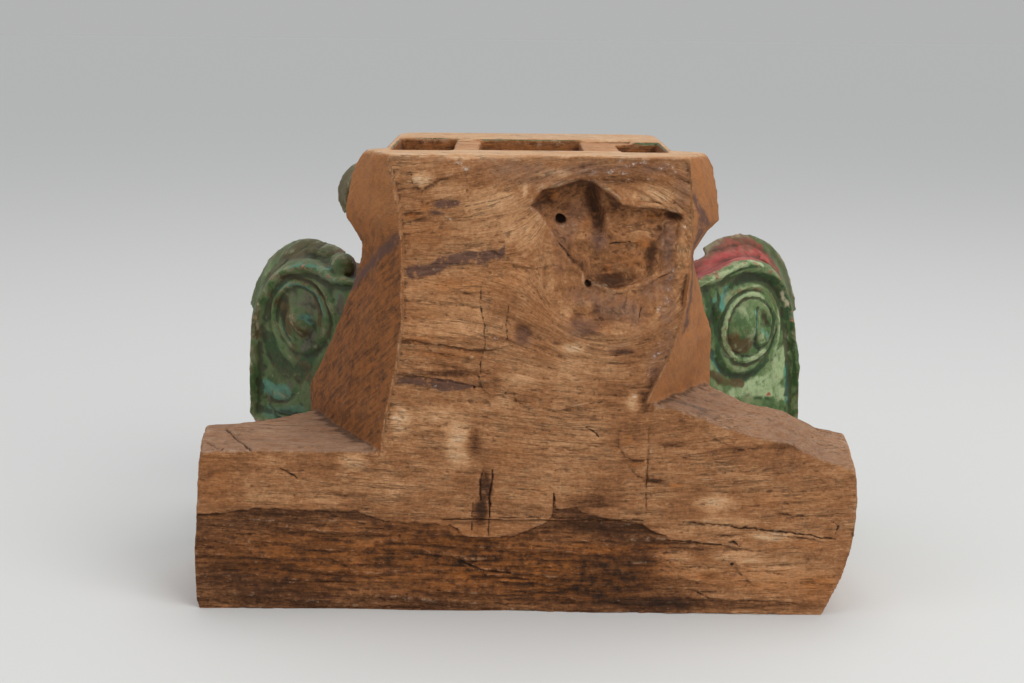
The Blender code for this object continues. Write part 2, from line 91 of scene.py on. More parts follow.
# A closer mesh on the rough back, which shows its fibres, cracks and the rotted knot
points, normals = skin()
near_back = (points[:, 1] < 26) & ((normals[:, 1] < -0.45) | (np.abs(points[:, 0] - 60) < 64) & (points[:, 2] > 245))
near_back &= points[:, 2] < 347
bpy.ops.object.mode_set(mode="EDIT")
bpy.ops.mesh.select_mode(type="VERT")
bpy.ops.mesh.select_all(action="DESELECT")
bpy.ops.object.mode_set(mode="OBJECT")
capital.data.vertices.foreach_set("select", near_back)
bpy.ops.object.mode_set(mode="EDIT")
bpy.ops.mesh.select_mode(type="FACE")
bpy.ops.mesh.subdivide(number_cuts=1)
bpy.ops.object.mode_set(mode="OBJECT")


# The rough back. It was split and hewn along the fibres and never painted: ledges where splits ran, lifted
# flakes, a rotted knot with a beetle hole, old filler, nails, stains and shallow shakes.
KNOT = (62.0, 272.0, 58.0)
KNOT_RIM = [(0, 312), (4, 319), (9, 325), (20, 327), (29, 330), (37, 332), (46, 331), (53, 327), (60, 323)]
KNOT_RIM += [(64, 319), (69, 315), (80, 313), (92, 312), (102, 311), (109, 309), (114, 305), (112, 298)]
KNOT_RIM += [(110, 276), (104, 268), (95, 264), (88, 258), (78, 254), (70, 251), (61, 250), (55, 254)]
KNOT_RIM += [(48, 255), (42, 254), (40, 264), (32, 271), (23, 282), (15, 297), (8, 306)]
# Splits that run far: the wood below each lies deeper
UPPER_SPLIT = [(-252, 75), (-240, 75), (-222, 78), (-206, 81), (-190, 81), (-178, 80), (-150, 80), (-128, 80)]
UPPER_SPLIT += [(-125, 78), (-115, 75), (-106, 72), (-68, 70), (-58, 69), (-51, 66), (-48, 62), (-44, 60)]
UPPER_SPLIT += [(-9, 60), (4, 66), (14, 70), (20, 76), (22, 82), (75, 88), (120, 86)]
MIDDLE_SPLIT = [(21, 95), (23, 82), (42, 81), (55, 77), (70, 73), (88, 71), (95, 66), (108, 61), (112, 57)]
MIDDLE_SPLIT += [(150, 55), (190, 52)]
LOWER_SPLIT = [(-252, 66), (-190, 64), (-150, 62), (-100, 61), (-45, 60), (30, 60), (70, 50), (84, 43), (120, 40)]
# Flakes: a line with the wood on its left side, walking along it, lifted by so much and falling back over so far
FLAKES = [
    (1.8, 16, [(-87, 340), (-86, 332), (-84, 328), (-79, 324), (-75, 327), (-70, 330), (-62, 333), (-50, 336)]),
    (1.3, 14, [(-78, 325), (-79, 318), (-77, 314), (-70, 317), (-50, 318)]),
    (1.6, 10, [(-96, 300), (-86, 301), (-78, 304), (-72, 307), (-60, 308)]),
    (1.1, 12, [(-97, 292), (-84, 292), (-70, 295)]),
    (1.2, 26, [(-46, 316), (-46, 328), (-48, 344)]),
    (1.0, 14, [(-60, 308), (-54, 303), (-50, 306), (-46, 316)]),
    (1.6, 12, [(-30, 281), (-22, 278), (-17, 276), (-6, 279)]),
    (1.1, 9, [(-18, 271), (-5, 268), (6, 267), (20, 270)]),
    (1.0, 9, [(-60, 250), (-40, 248), (-15, 250)]),
    (2.4, 20, [(-96, 213), (-88, 213), (-72, 210), (-60, 208), (-45, 206), (-24, 206), (-14, 208)]),
    (1.6, 8, [(-90, 206), (-75, 204), (-60, 202), (-45, 199), (-37, 198)]),
    (1.2, 7, [(-98, 198), (-84, 196), (-66, 194), (-46, 192)]),
    (2.2, 10, [(-100, 187), (-70, 184), (-50, 180), (-36, 177)]),
    (1.8, 14, [(-35, 186), (-34, 178), (-31, 173), (-26, 170), (-19, 171), (-12, 175)]),
    (1.6, 14, [(-10, 172), (-8, 166), (0, 162), (8, 160), (12, 166)]),
    (1.8, 16, [(8, 161), (22, 159), (30, 161), (45, 165), (58, 167), (70, 165)]),
    (1.0, 8, [(-40, 160), (-30, 157), (-18, 156)]),
    (1.5, 10, [(70, 146), (71, 132), (75, 124), (84, 121), (100, 123)]),
    (1.5, 9, [(78, 118), (83, 110), (92, 106), (108, 105)]),
    (1.0, 9, [(92, 133), (108, 134), (124, 133)]),
    (1.4, 12, [(133, 148), (140, 140), (152, 134), (170, 128)]),
    (1.0, 8, [(120, 124), (142, 121), (164, 119)]),
    (1.7, 14, [(112, 73), (140, 71), (165, 69), (190, 65), (212, 62), (236, 58)]),
    (1.2, 9, [(124, 63), (140, 65), (160, 62)]),
    (1.4, 10, [(112, 57), (128, 56), (145, 55), (156, 54), (170, 52), (192, 50)]),
    (1.4, 8, [(150, 49), (152, 44), (160, 42), (163, 36), (168, 30), (178, 22)]),
    (1.2, 9, [(92, 42), (104, 46), (110, 54)]),
    (1.2, 7, [(100, 28), (122, 27), (140, 24)]),
    (1.0, 7, [(188, 34), (206, 31), (232, 32)]),
    (1.3, 8, [(110, 12), (150, 11), (190, 12), (215, 9)]),
    (1.5, 10, [(190, 82), (204, 79), (232, 80)]),
    (1.2, 8, [(-244, 55), (-215, 50), (-205, 42), (-190, 40)]),
    (1.4, 9, [(-150, 42), (-136, 36), (-128, 28), (-100, 27)]),
    (1.8, 10, [(-58, 46), (-46, 37), (-36, 32), (-10, 30), (20, 27), (60, 26)]),
    (1.2, 8, [(-120, 54), (-80, 52), (-40, 50), (0, 47)]),
    (1.0, 7, [(-180, 112), (-174, 106), (-160, 104)]),
    (1.1, 8, [(-215, 28), (-180, 24), (-140, 22)]),
    (1.2, 7, [(-90, 20), (-40, 14), (10, 15), (70, 14)]),
]
# Each crack: half its width, its depth and its line
CRACKS = [
    (0.35, 0.8, [(-34, 258), (-36, 240), (-33, 228), (-31, 212), (-34, 196), (-35, 184)]),
    (0.35, 0.7, [(-14, 240), (-16, 226), (-15, 214)]),
    (0.6, 1.8, [(-33, 112), (-35, 104), (-34, 88)]),
    (0.7, 2.2, [(-25, 112), (-27, 98), (-28, 74)]),
    (0.35, 0.8, [(-41, 90), (-40, 74), (-42, 61)]),
    (0.5, 1.2, [(-28, 74), (-28, 61)]),
    (0.7, 2.0, [(120, 73), (150, 71), (165, 69), (200, 66), (236, 60)]),
    (0.7, 2.0, [(109, 58), (128, 57), (150, 55)]),
    (0.8, 2.2, [(-50, 41), (-36, 34), (-11, 30)]),
    (0.6, 1.6, [(22, 285), (27, 280), (34, 271)]),
    (0.6, 1.2, [(155, 57), (160, 57), (164, 54)]),
    (0.6, 1.5, [(133, 17), (137, 14), (141, 12)]),
    (0.6, 1.2, [(233, 75), (238, 71), (236, 64)]),
    (0.5, 1.2, [(60, 284), (68, 286), (76, 287)]),
    (0.5, 1.0, [(-187, 113), (-178, 108), (-173, 105)]),
    (0.6, 1.4, [(21, 94), (22, 88), (24, 83)]),
    (0.5, 1.0, [(45, 147), (52, 142), (56, 137)]),
    (0.3, 0.6, [(80, 246), (84, 236), (82, 222)]),
]
# Purple-grey crusts of old filler that stand a little proud
CRUSTS = [
    [(-91, 262), (-89, 268), (-78, 268), (-70, 270), (-66, 275), (-58, 276), (-46, 279), (-35, 279), (-22, 280),
     (-17, 285), (-17, 277), (-22, 272), (-36, 270), (-50, 269), (-60, 267), (-65, 263), (-70, 261), (-86, 257)],
    [(-99, 184), (-66, 184), (-50, 180), (-37, 178), (-42, 176), (-50, 173), (-65, 173), (-80, 177), (-99, 179)],
    [(-71, 312), (-69, 316), (-62, 317), (-51, 317), (-52, 313), (-62, 310)],
    [(-73, 308), (-68, 309), (-61, 307), (-64, 305), (-71, 306)],
]
# Holes and nails: place, half width, and depth below the wood or height above it
HOLES = [(23.5, 302, 3.4, 9.0), (44, 255, 2.6, 6.0), (-40, 176, 1.0, 2.0), (158, 40, 1.2, 2.0)]
NAILS = [(58.5, 338.5, 2.3, 1.1), (-68, 177, 1.2, 0.6), (-99, 153, 1.2, 0.6), (194, 116, 1.0, 0.5)]
NAILS += [(-23, 215, 1.1, 0.5)]


def smooth(low, high, value):
    t = np.clip((value - low) / (high - low), 0.0, 1.0)
    return t * t * (3.0 - 2.0 * t)


def bell(value, centre, half):
    return np.exp(-(((value - centre) / half) ** 2))


def noise(places, seed, octaves=1):
    """Smooth random values from -1 to 1, one cell for each unit of the places."""
    lattice = np.random.default_rng(seed).uniform(-1, 1, (32, 32, 32))
    total, most = 0.0, 0.0
    for k in range(octaves):
        p = places * 2.0**k + 5.3 * k
        cell = np.floor(p).astype(int)
        part = p - cell
        part = part * part * (3 - 2 * part)
        value = 0.0
        for corner in np.ndindex(2, 2, 2):
            share = np.where(corner, part, 1 - part).prod(axis=1)
            value = value + share * lattice[tuple(((cell + corner) % 32).T)]
        total, most = total + value * 0.55**k, most + 0.55**k
    return total / most


def stretched(x, y, z, sx, sy, sz):
    return np.stack([x / sx, y / sy, z / sz], axis=1)


def flat_noise(x, z, sx, sz, seed, octaves=1):
    return noise(stretched(x, 0 * x, z, sx, 1, sz), seed, octaves)


def from_line(x, z, line, reach=1e9):
    """Distance of each point from a drawn line, more than zero on its left side, and how far along it that is."""
    xs, zs = [p[0] for p in line], [p[1] for p in line]
    near = (x > min(xs) - reach) & (x < max(xs) + reach) & (z > min(zs) - reach) & (z < max(zs) + reach)
    best, along, left = np.full(near.sum(), 1e9), np.zeros(near.sum()), np.ones(near.sum())
    nx, nz = x[near], z[near]
    for i, ((x0, z0), (x1, z1)) in enumerate(zip(line, line[1:])):
        dx, dz = x1 - x0, z1 - z0
        t = np.clip(((nx - x0) * dx + (nz - z0) * dz) / (dx * dx + dz * dz), 0, 1)
        distance = np.hypot(nx - x0 - t * dx, nz - z0 - t * dz)
        closer = distance < best
        along = np.where(closer, (i + t) / (len(line) - 1), along)
        left = np.where(closer, np.sign(dx * (nz - z0) - dz * (nx - x0)), left)
        best = np.minimum(best, distance)
    signed, share = np.full(x.shape, 1e9), np.zeros(x.shape)
    signed[near], share[near] = best * np.where(left == 0, 1, left), along
    return signed, share


def inside(x, z, outline):
    """Distance in from an outline, and less than zero outside it."""
    ring = outline + outline[:1]
    distance = np.abs(from_line(x, z, ring)[0])
    within = np.zeros(x.shape, bool)
    for (x0, z0), (x1, z1) in zip(ring, ring[1:]):
        if z0 != z1:
            within ^= ((z0 > z) != (z1 > z)) & (x < (x1 - x0) * (z - z0) / (z1 - z0) + x0)
    return np.where(within, distance, -distance)


def line_height(x, line):
    return np.interp(x, [p[0] for p in line], [p[1] for p in line])


def grain_height(x, z):
    """Height across the fibres, which part round the knot like water round a stone."""
    dx, dz = x - KNOT[0], z - KNOT[1]
    r = np.hypot(dx, dz)
    return KNOT[1] + dz * (1 - 0.85 * np.minimum(KNOT[2] / np.maximum(r, 1), 1.06) ** 2)


def terraces(value, steps, edge):
    """Turns a smooth value into flat steps with steep risers."""
    value = value * steps + 50
    return (np.floor(value) - 50 + smooth(1 - edge, 1.0, value % 1.0)) / steps


def rough_back(x, z):
    """Depth of the back at each place, and where it is cracked, crusted or rotted."""
    flat = stretched(x, 0 * x, z, 7, 1, 7)
    wx = x + 1.5 * noise(flat, 11, 3)
    wz = z + 1.2 * noise(flat, 12, 3)
    g = grain_height(x, z)
    depth = 3.6 + 1.5 * flat_noise(x, z, 70, 38, 13, 2)

    rim = inside(wx, wz, KNOT_RIM)
    in_knot = smooth(-0.5, 2.0, rim)
    below_upper = smooth(0.7, -0.7, wz - line_height(wx, UPPER_SPLIT)) * smooth(60, 22, wx)
    below_middle = smooth(0.7, -0.7, wz - line_height(wx, MIDDLE_SPLIT)) * smooth(20, 22, wx) * smooth(165, 95, wx)
    below_lower = smooth(0.8, -0.8, wz - line_height(wx, LOWER_SPLIT)) * smooth(118, 80, wx)
    low_wood = np.maximum(np.maximum(below_upper, below_middle), below_lower)
    depth += 2.0 * np.maximum(below_upper, below_middle) + 1.1 * below_lower

    # Splinters: steps along the fibres, torn ends, ridges and fine lines
    calm = 1 - 0.8 * in_knot
    torn = flat_noise(x, g, 48, 9, 14, 3) + 0.25 * flat_noise(x, z, 5, 3, 26, 2)
    depth += (2.3 + 1.2 * low_wood) * terraces(torn, 5.0, 0.18) * calm
    thin = flat_noise(x, g, 22, 3.5, 27, 2) + 0.2 * flat_noise(x, z, 3, 2, 28)
    depth += (0.9 + 0.5 * low_wood) * terraces(thin, 3.0, 0.25) * calm
    ridges = flat_noise(x, g, 34, 2.4, 15, 2)
    depth += (0.30 + 0.60 * low_wood) * ridges * calm
    depth += 0.22 * flat_noise(x, g, 8, 1.4, 16, 2) + 0.28 * flat_noise(x, z, 5, 4, 17, 2)
    for lift, fade, line in FLAKES:
        signed, along = from_line(wx, wz, line, fade + 3)
        ends_off = smooth(0, 0.12, along) * smooth(1, 0.88, along)
        depth -= lift * smooth(-0.5, 0.5, signed) * smooth(fade, 0, signed) * ends_off

    # The knot: a sharp upper lip, a hollow lobe on the left, a deep fold down the middle, a lobe and a pillar on
    # the right, a lower bowl and a pit
    bowl = 1 - np.exp(-np.maximum(rim, 0) / 4.0)
    depth += bowl * (6.5 + 5.0 * smooth(280, 312, wz)) + 3.5 * smooth(0.0, 1.5, rim) * smooth(298, 310, wz)
    fold = wx - (45 + 0.16 * (326 - wz))
    depth += bowl * (5.0 * bell(fold, 1.0, 4.0) * smooth(286, 304, wz) - 3.0 * bell(fold, -16, 11) * bell(wz, 300, 14))
    depth -= bowl * (4.5 * bell(fold, 9, 4.0) * smooth(288, 300, wz) * smooth(326, 316, wz))
    pillar = wx - 97 + 4.0 * flat_noise(x, z, 30, 11, 51, 2)
    depth -= 7.5 * smooth(-5, 4, pillar) * smooth(309, 300, wz) * smooth(258, 272, wz) * bowl
    depth -= 4.0 * bell(wx, 52, 8) * bell(wz, 286, 7) * bowl
    shelf = wz - 0.1 * (wx - 70) + 3.0 * flat_noise(x, z, 12, 12, 52, 2)
    depth -= 2.8 * smooth(281, 287, shelf) * smooth(302, 290, wz) * smooth(58, 68, wx) * smooth(95, 86, wx) * bowl
    depth += 7.0 * smooth(0.0, 5.0, rim) * bell(wx, 64, 15) * bell(wz + 0.25 * (wx - 64), 259, 8.0)
    depth += 3.0 * in_knot * terraces(flat_noise(x, z, 13, 9, 18, 3), 4.0, 0.35)
    depth += 1.1 * in_knot * terraces(flat_noise(x, z, 5, 3, 53, 2), 3.0, 0.5)
    around = np.maximum(-rim, 0)
    lip = bell(around, 1.5, 3.0) * (1 - in_knot)
    depth -= 0.9 * lip * smooth(290, 315, z)
    below = smooth(290, 262, z) * smooth(34, 22, around) * smooth(0.5, 3, around) * smooth(0, 40, x)
    folds = flat_noise(x, z, 26, 12, 19, 2) + around / 16
    depth += 2.6 * below * terraces(folds, 4.0, 0.4)

    cracked = np.zeros(x.shape)
    for hx, hz, half, deep in HOLES:
        hole = smooth(half + 0.8, half - 0.8, np.hypot(wx - hx, wz - hz))
        depth += deep * hole
        cracked = np.maximum(cracked, hole)
    for half, deep, line in CRACKS:
        signed, along = from_line(wx, wz, line, 6)
        width = half * (0.45 + 0.75 * np.sin(np.pi * np.clip(along, 0.03, 0.97))) * (1 + 0.5 * noise(flat * 2.3, 29))
        cut = smooth(2.0 * width, 0.2 * width, np.abs(signed))
        depth += deep * cut
        cracked = np.maximum(cracked, cut * smooth(-0.9, 0.1, noise(flat * 1.7, 30)))
    nailed = np.zeros(x.shape)
    for nx, nz, half, high in NAILS:
        head = np.sqrt(np.maximum(0, 1 - (np.hypot(x - nx, z - nz) / half) ** 2))
        depth -= high * head
        nailed = np.maximum(nailed, smooth(0.0, 0.3, head))
    crusted = np.zeros(x.shape)
    for outline in CRUSTS:
        crusted = np.maximum(crusted, smooth(-0.4, 0.5, inside(wx, wz, outline)))
    crusted *= smooth(-0.85, -0.55, flat_noise(x, g, 7, 2.5, 20, 2))
    depth -= 0.5 * crusted
    return {"depth": depth, "cracked": cracked, "crusted": crusted, "in_knot": in_knot, "nailed": nailed,
            "low_wood": low_wood, "torn": torn}


def back_share(x, d, z, normals):
    """How far each point belongs to the rough back: 1 within the edges of the block's face and of the beam."""
    left = np.interp(z, [137, 179, 220, 280, 310, 346], [109.5, 100.5, 93.5, 93.5, 95.5, 103.5])
    right = np.interp(z, [166, 207, 236, 288, 325, 346], [89.5, 108.5, 116.5, 122.5, 119.5, 117.5])
    on_block = smooth(-0.5, 2.5, x + left) * smooth(0.5, -2.5, x - right) * smooth(348.5, 345, z)
    arm_top = np.where(x < 0, 128.0, 166 - 22 * smooth(94, 180, x) - 24 * smooth(180, 250, x))
    on_beam = smooth(1.0, -3.5, z - arm_top)
    by_knot = smooth(-1.0, 1.0, inside(x, z, KNOT_RIM) + 4)
    facing = np.maximum(smooth(0.45, 0.8, -normals[:, 1]), by_knot)
    return np.maximum(on_beam, on_block) * facing * (d < 30)


points, normals = skin()
x, d, z = points.T
near = d < 32
share = np.zeros(len(x))
share[near] = back_share(x[near], d[near], z[near], normals[near])
back = rough_back(x[near], z[near])
points[near, 1] = d[near] + share[near] * (back["depth"] - d[near])

# Hewn and sawn faces behind the carving: the arms' tops, the ends, the block's hollow sides and the underside
bare = d < 150
across_end = np.abs(normals[:, 0]) ** 2
loose = 0.8 * noise(stretched(x, d, z, 16, 16, 16), 21, 2) + 0.25 * noise(stretched(x, d, z, 4, 3, 3), 22, 2)
fibres = 0.7 * noise(stretched(x, d, z, 40, 3, 3), 23, 2) * (1 - across_end)
sawn = noise(stretched(x, 0.6 * d - z, 0.25 * d + z, 30, 14, 1.8), 24, 2)
sawn += 0.8 * terraces(noise(stretched(x, d, z, 22, 22, 22), 25, 2), 4, 0.2)
weathered_top = smooth(0.5, 0.8, normals[:, 2]) * (z < 200)
fibres += 0.9 * weathered_top * terraces(noise(stretched(x, d, z, 50, 7, 7), 37, 2), 4, 0.25)
rough = loose + fibres + 0.34 * sawn * across_end
rough *= (1 - share) * bare * smooth(0.5, 4.0, z) * smooth(349.8, 346.0, z)
# Two splits and a torn splinter line on the left arm's top
ARM_SPLITS = [
    (0.7, 2.5, [(-236, 62), (-222, 30), (-206, 2)]),
    (0.6, 1.8, [(-244, 26), (-232, 8), (-222, 2)]),
    (1.2, 2.4, [(-98, 6), (-118, 44), (-140, 86), (-160, 128)]),
]
for half, deep, line in ARM_SPLITS:
    signed, along = from_line(x + 1.2 * loose, d + 1.2 * loose, line, 8)
    rough -= deep * smooth(2 * half, 0.3 * half, np.abs(signed)) * weathered_top * (x < 0)
points += normals * rough[:, None]
put_skin(points)


# The corner volutes. Each stands on a corner of the abacus, carved on the face that shows from behind: a rib
# round the edge, rings inside it, and a domed eye that winds to a snail on the right and a cone on the left.
TURN = math.radians(35)
RIM_REACH = 61.0
EYE_HEIGHT = {1: 188.0, -1: 190.0}
EDGE_TURNS = {
    1: [(-60, 124), (-40, 80), (-31, 69.5), (-18, 60), (3, 52.3), (24, 50.5), (49, 54), (76, 57), (100, 60.5),
        (116, 63), (128, 66), (140, 74), (150, 86)],
    -1: [(-60, 122), (-36, 75.6), (-24, 66), (-8, 58.8), (7, 55), (29, 50.5), (58, 49.5), (90, 52), (106, 54),
         (120, 56), (134, 60), (142, 68), (150, 84)],
}
DISC = 30.0
EYE_OUT, EYE_DEPTH, FOOT, INNER, FAR = 194.0, 200.0, 100.0, 74.0, 140.0


def volute_frame(points, side):
    """Place of each point by a volute: outward along its face, up, toward the viewer, and its edge's radius."""
    along = np.array([side * math.cos(TURN), math.sin(TURN), 0.0])
    toward = np.array([side * math.sin(TURN), -math.cos(TURN), 0.0])
    place = points - np.array([side * EYE_OUT, EYE_DEPTH, EYE_HEIGHT[side]])
    p, q, h = place @ along, place[:, 2], place @ toward
    angle = np.degrees(np.arctan2(q, p))
    angle = np.where(angle < -120, angle + 360, angle)
    cos, sin = np.cos(np.radians(angle)), np.sin(np.radians(angle))
    edge = line_height(angle, EDGE_TURNS[side])
    edge = np.where((angle > 150) | (angle < -60), np.minimum(FAR, INNER / np.maximum(-cos, 0.01)), edge)
    edge = np.minimum(edge, np.where(cos > 0.01, RIM_REACH / np.maximum(cos, 0.01), FAR))
    edge = np.minimum(edge, np.where(sin < -0.2, FOOT / np.maximum(-sin, 0.01), FAR))
    return p, q, h, angle, edge, toward


def grooved(p, q, lines):
    """Sum of grooves, each with its half width, its depth and its line."""
    total = np.zeros(p.shape)
    for half, deep, line in lines:
        signed, along = from_line(p, q, line, 3 * half)
        total += deep * bell(signed, 0, half) * np.sin(np.pi * np.clip(along, 0.08, 0.92))
    return total


RIGHT_GROOVES = [
    (1.6, 1.6, [(-32, 47), (-20, 50), (-8, 53), (6, 52), (16, 49)]),
    (2.0, 2.2, [(-48, 38), (-42, 28), (-40, 14), (-38, 0), (-36, -16)]),
    (1.8, 1.8, [(-37, 37), (-34, 28), (-34, 16)]),
    (1.5, 1.2, [(50, 14), (53, -10), (55, -34), (56, -66)]),
    (1.5, 1.2, [(43, 10), (45, -12), (48, -40), (50, -66)]),
]
LEFT_GROOVES = [
    (1.7, 2.6, [(23, 36), (10, 37), (0, 36), (-10, 34), (-18, 30), (-25, 22), (-30, 12), (-32, 0), (-30, -12)]),
    (1.3, 1.6, [(14, 30), (0, 29), (-12, 25), (-19, 16), (-22, 6), (-21, -4)]),
    (1.4, 1.6, [(48, 24), (52, 6), (52, -14), (50, -34)]),
    (1.4, 1.4, [(26, 6), (22, -10), (14, -20), (4, -26)]),
    (1.2, 1.3, [(20, 4), (16, -9), (8, -16), (-2, -18)]),
    (1.6, 1.6, [(46, -74), (34, -76), (22, -75), (14, -70), (4, -64)]),
    (1.4, 1.2, [(-14, 52), (-30, 50), (-44, 46)]),
]


def volute_relief(p, q, edge, side):
    """Height of the carved face above the volute's plane."""
    r = np.hypot(p, q)
    within = edge - r
    angle = np.degrees(np.arctan2(q, p))
    height = 1.6 - 5.8 * smooth(5, 15, within) + 1.0 * bell(within, 5.0, 3.0)
    ring = np.hypot(p + 2, q + 1)
    upper = smooth(-35, 5, angle) * smooth(178, 150, angle)
    height += 2.8 * bell(ring, 36.0, 3.2) * (0.35 + 0.65 * upper)
    if side > 0:
        height -= 1.8 * smooth(15, 35, -p - q) * bell(ring, 42.5, 4.0)
        height += 3.2 * smooth(DISC + 2.6, DISC - 0.8, r) - 1.3 * bell(r, DISC - 4.2, 1.5)
        height += 7.0 * smooth(27, 2, np.hypot(p + 7, q - 1))
        boss = np.hypot(p - 15, q + 9)
        height += 3.6 * smooth(11, 3, boss) - 1.6 * bell(boss, 11.5, 1.5) * smooth(30, 27, r)
        curl = from_line(p, q, [(7, 12), (13, 15.5), (20, 12), (24, 4), (25, -6)], 12)[0]
        cut = from_line(p, q, [(7, 16), (4, 8), (3.5, 0), (5, -7)], 8)[0]
        height += 2.2 * bell(curl, 0, 3.2) - 2.2 * bell(cut, 0, 1.4)
        height -= grooved(p, q, RIGHT_GROOVES)
    else:
        height += 2.6 * bell(r, 32.0, 2.6) * upper + 1.8 * smooth(31, 26, r)
        cone = np.hypot(p - 3, q - 1)
        ridge = np.hypot(np.maximum(0, np.abs(0.6 * p - 0.8 * q) - 1), 0.25 * (0.8 * p + 0.6 * q))
        height += 9.0 * smooth(24, 0, cone) + 2.4 * bell(ridge, 0, 4.0) * smooth(26, 16, r)
        height -= 4.0 * bell(p, 19, 7) * bell(q, 2, 13)
        height += 2.2 * bell(p, -3, 5) * bell(q, -6, 5) - 1.2 * bell(p, -12, 6) * bell(q, 10, 9)
        height += 1.2 * bell(p, 30, 12) * bell(q, -66, 8)
        height -= grooved(p, q, LEFT_GROOVES)
    return height


def carve_volute(points, normals, side):
    p, q, h, angle, edge, toward = volute_frame(points, side)
    r = np.hypot(p, q)
    chisel = 0.5 * noise(stretched(p, h, q, 10, 10, 10), 31 + side, 2)
    chisel += 0.2 * noise(stretched(p, h, q, 3, 3, 3), 33 + side)
    chisel += 0.7 * terraces(noise(stretched(r, h, angle, 5, 20, 22), 38 + side), 3, 0.3)
    face = smooth(0.15, 0.45, normals @ toward) * smooth(0.5, 4.5, edge - r) * (np.abs(h) < 19) * (np.abs(p) < 66)
    face *= smooth(-97, -88, q)
    target = volute_relief(p, q, edge, side) + chisel
    points = points + toward * (face * np.clip(target - h, -8, 8))[:, None]
    # The rim between the two carved faces: a sunk channel with a bead along each side
    across = -h / (RIM_REACH * math.cos(TURN))
    rim = (np.abs(normals @ toward) < 0.6) * smooth(-8, -3, r - edge)
    rim = rim * smooth(0.04, 0.12, across) * smooth(1.2, 1.1, across) * smooth(8, 25, angle)
    rim = rim * smooth(165, 150, angle) * (r < edge + 16)
    sink = 1.9 * bell(across, 0.60, 0.12) - 0.8 * bell(across, 0.30, 0.10) - 0.7 * bell(across, 0.92, 0.10)
    if side > 0:
        sink = sink + 7.0 * smooth(95, 135, angle) * smooth(0.35, 0.9, across)
    else:
        lobes = 5.0 * np.abs(np.sin(np.radians(angle) * 4.2 + 0.6)) ** 0.7 - 3.0
        sink -= lobes * smooth(0.35, 0.65, across) * smooth(100, 70, angle)
    return points - normals * (rim * (sink + 0.2 * chisel))[:, None]


points, normals = skin()
for side in (-1, 1):
    points = carve_volute(points, normals, side)
painted_side = smooth(148, 156, points[:, 1])
worn = 0.45 * noise(stretched(*points.T, 8, 8, 8), 35, 2) + 0.25 * noise(stretched(*points.T, 2.6, 2.6, 2.6), 36)
points += normals * (painted_side * worn * smooth(0.5, 4.0, points[:, 2]) * smooth(349.8, 347, points[:, 2]))[:, None]
put_skin(points)


# Hollows, kept on the close mesh before it is thinned: the colour is darkened in them as painted shade, and the paint
# holds on longer there
def spread(values, rounds):
    """Evens values out over the skin, each point with its neighbours."""
    mesh = capital.data
    ends = np.empty(len(mesh.edges) * 2, np.int32)
    mesh.edges.foreach_get("vertices", ends)
    a, b = ends.reshape(-1, 2).T
    count = len(mesh.vertices)
    links = np.maximum(np.bincount(a, minlength=count) + np.bincount(b, minlength=count), 1)
    for _ in range(rounds):
        total = [np.bincount(a, v[b], count) + np.bincount(b, v[a], count) for v in values.T]
        values = 0.4 * values + 0.6 * np.array(total).T / links[:, None]
    return values


def keep(name, values):
    """Stores one value or one vector for each point of the capital."""
    values = np.asarray(values, np.float32)
    kind = "FLOAT" if values.ndim == 1 else "FLOAT_VECTOR"
    attribute = capital.data.attributes.new(name, kind, "POINT")
    attribute.data.foreach_set("value" if values.ndim == 1 else "vector", values.ravel())


MOST_TRIANGLES = 194000
CLOSE_ROUNDS, BROAD_ROUNDS = 5, 40
points, normals = skin()
evened = spread(points, CLOSE_ROUNDS)
fine = ((evened - points) * normals).sum(axis=1)
broad = ((spread(evened, BROAD_ROUNDS) - points) * normals).sum(axis=1)
keep("hollow", np.clip(1.1 * fine + 0.35 * broad, -1.5, 1.5))
capital.data.calc_loop_triangles()
finish_modifier("DECIMATE", ratio=min(1.0, MOST_TRIANGLES / len(capital.data.loop_triangles)))
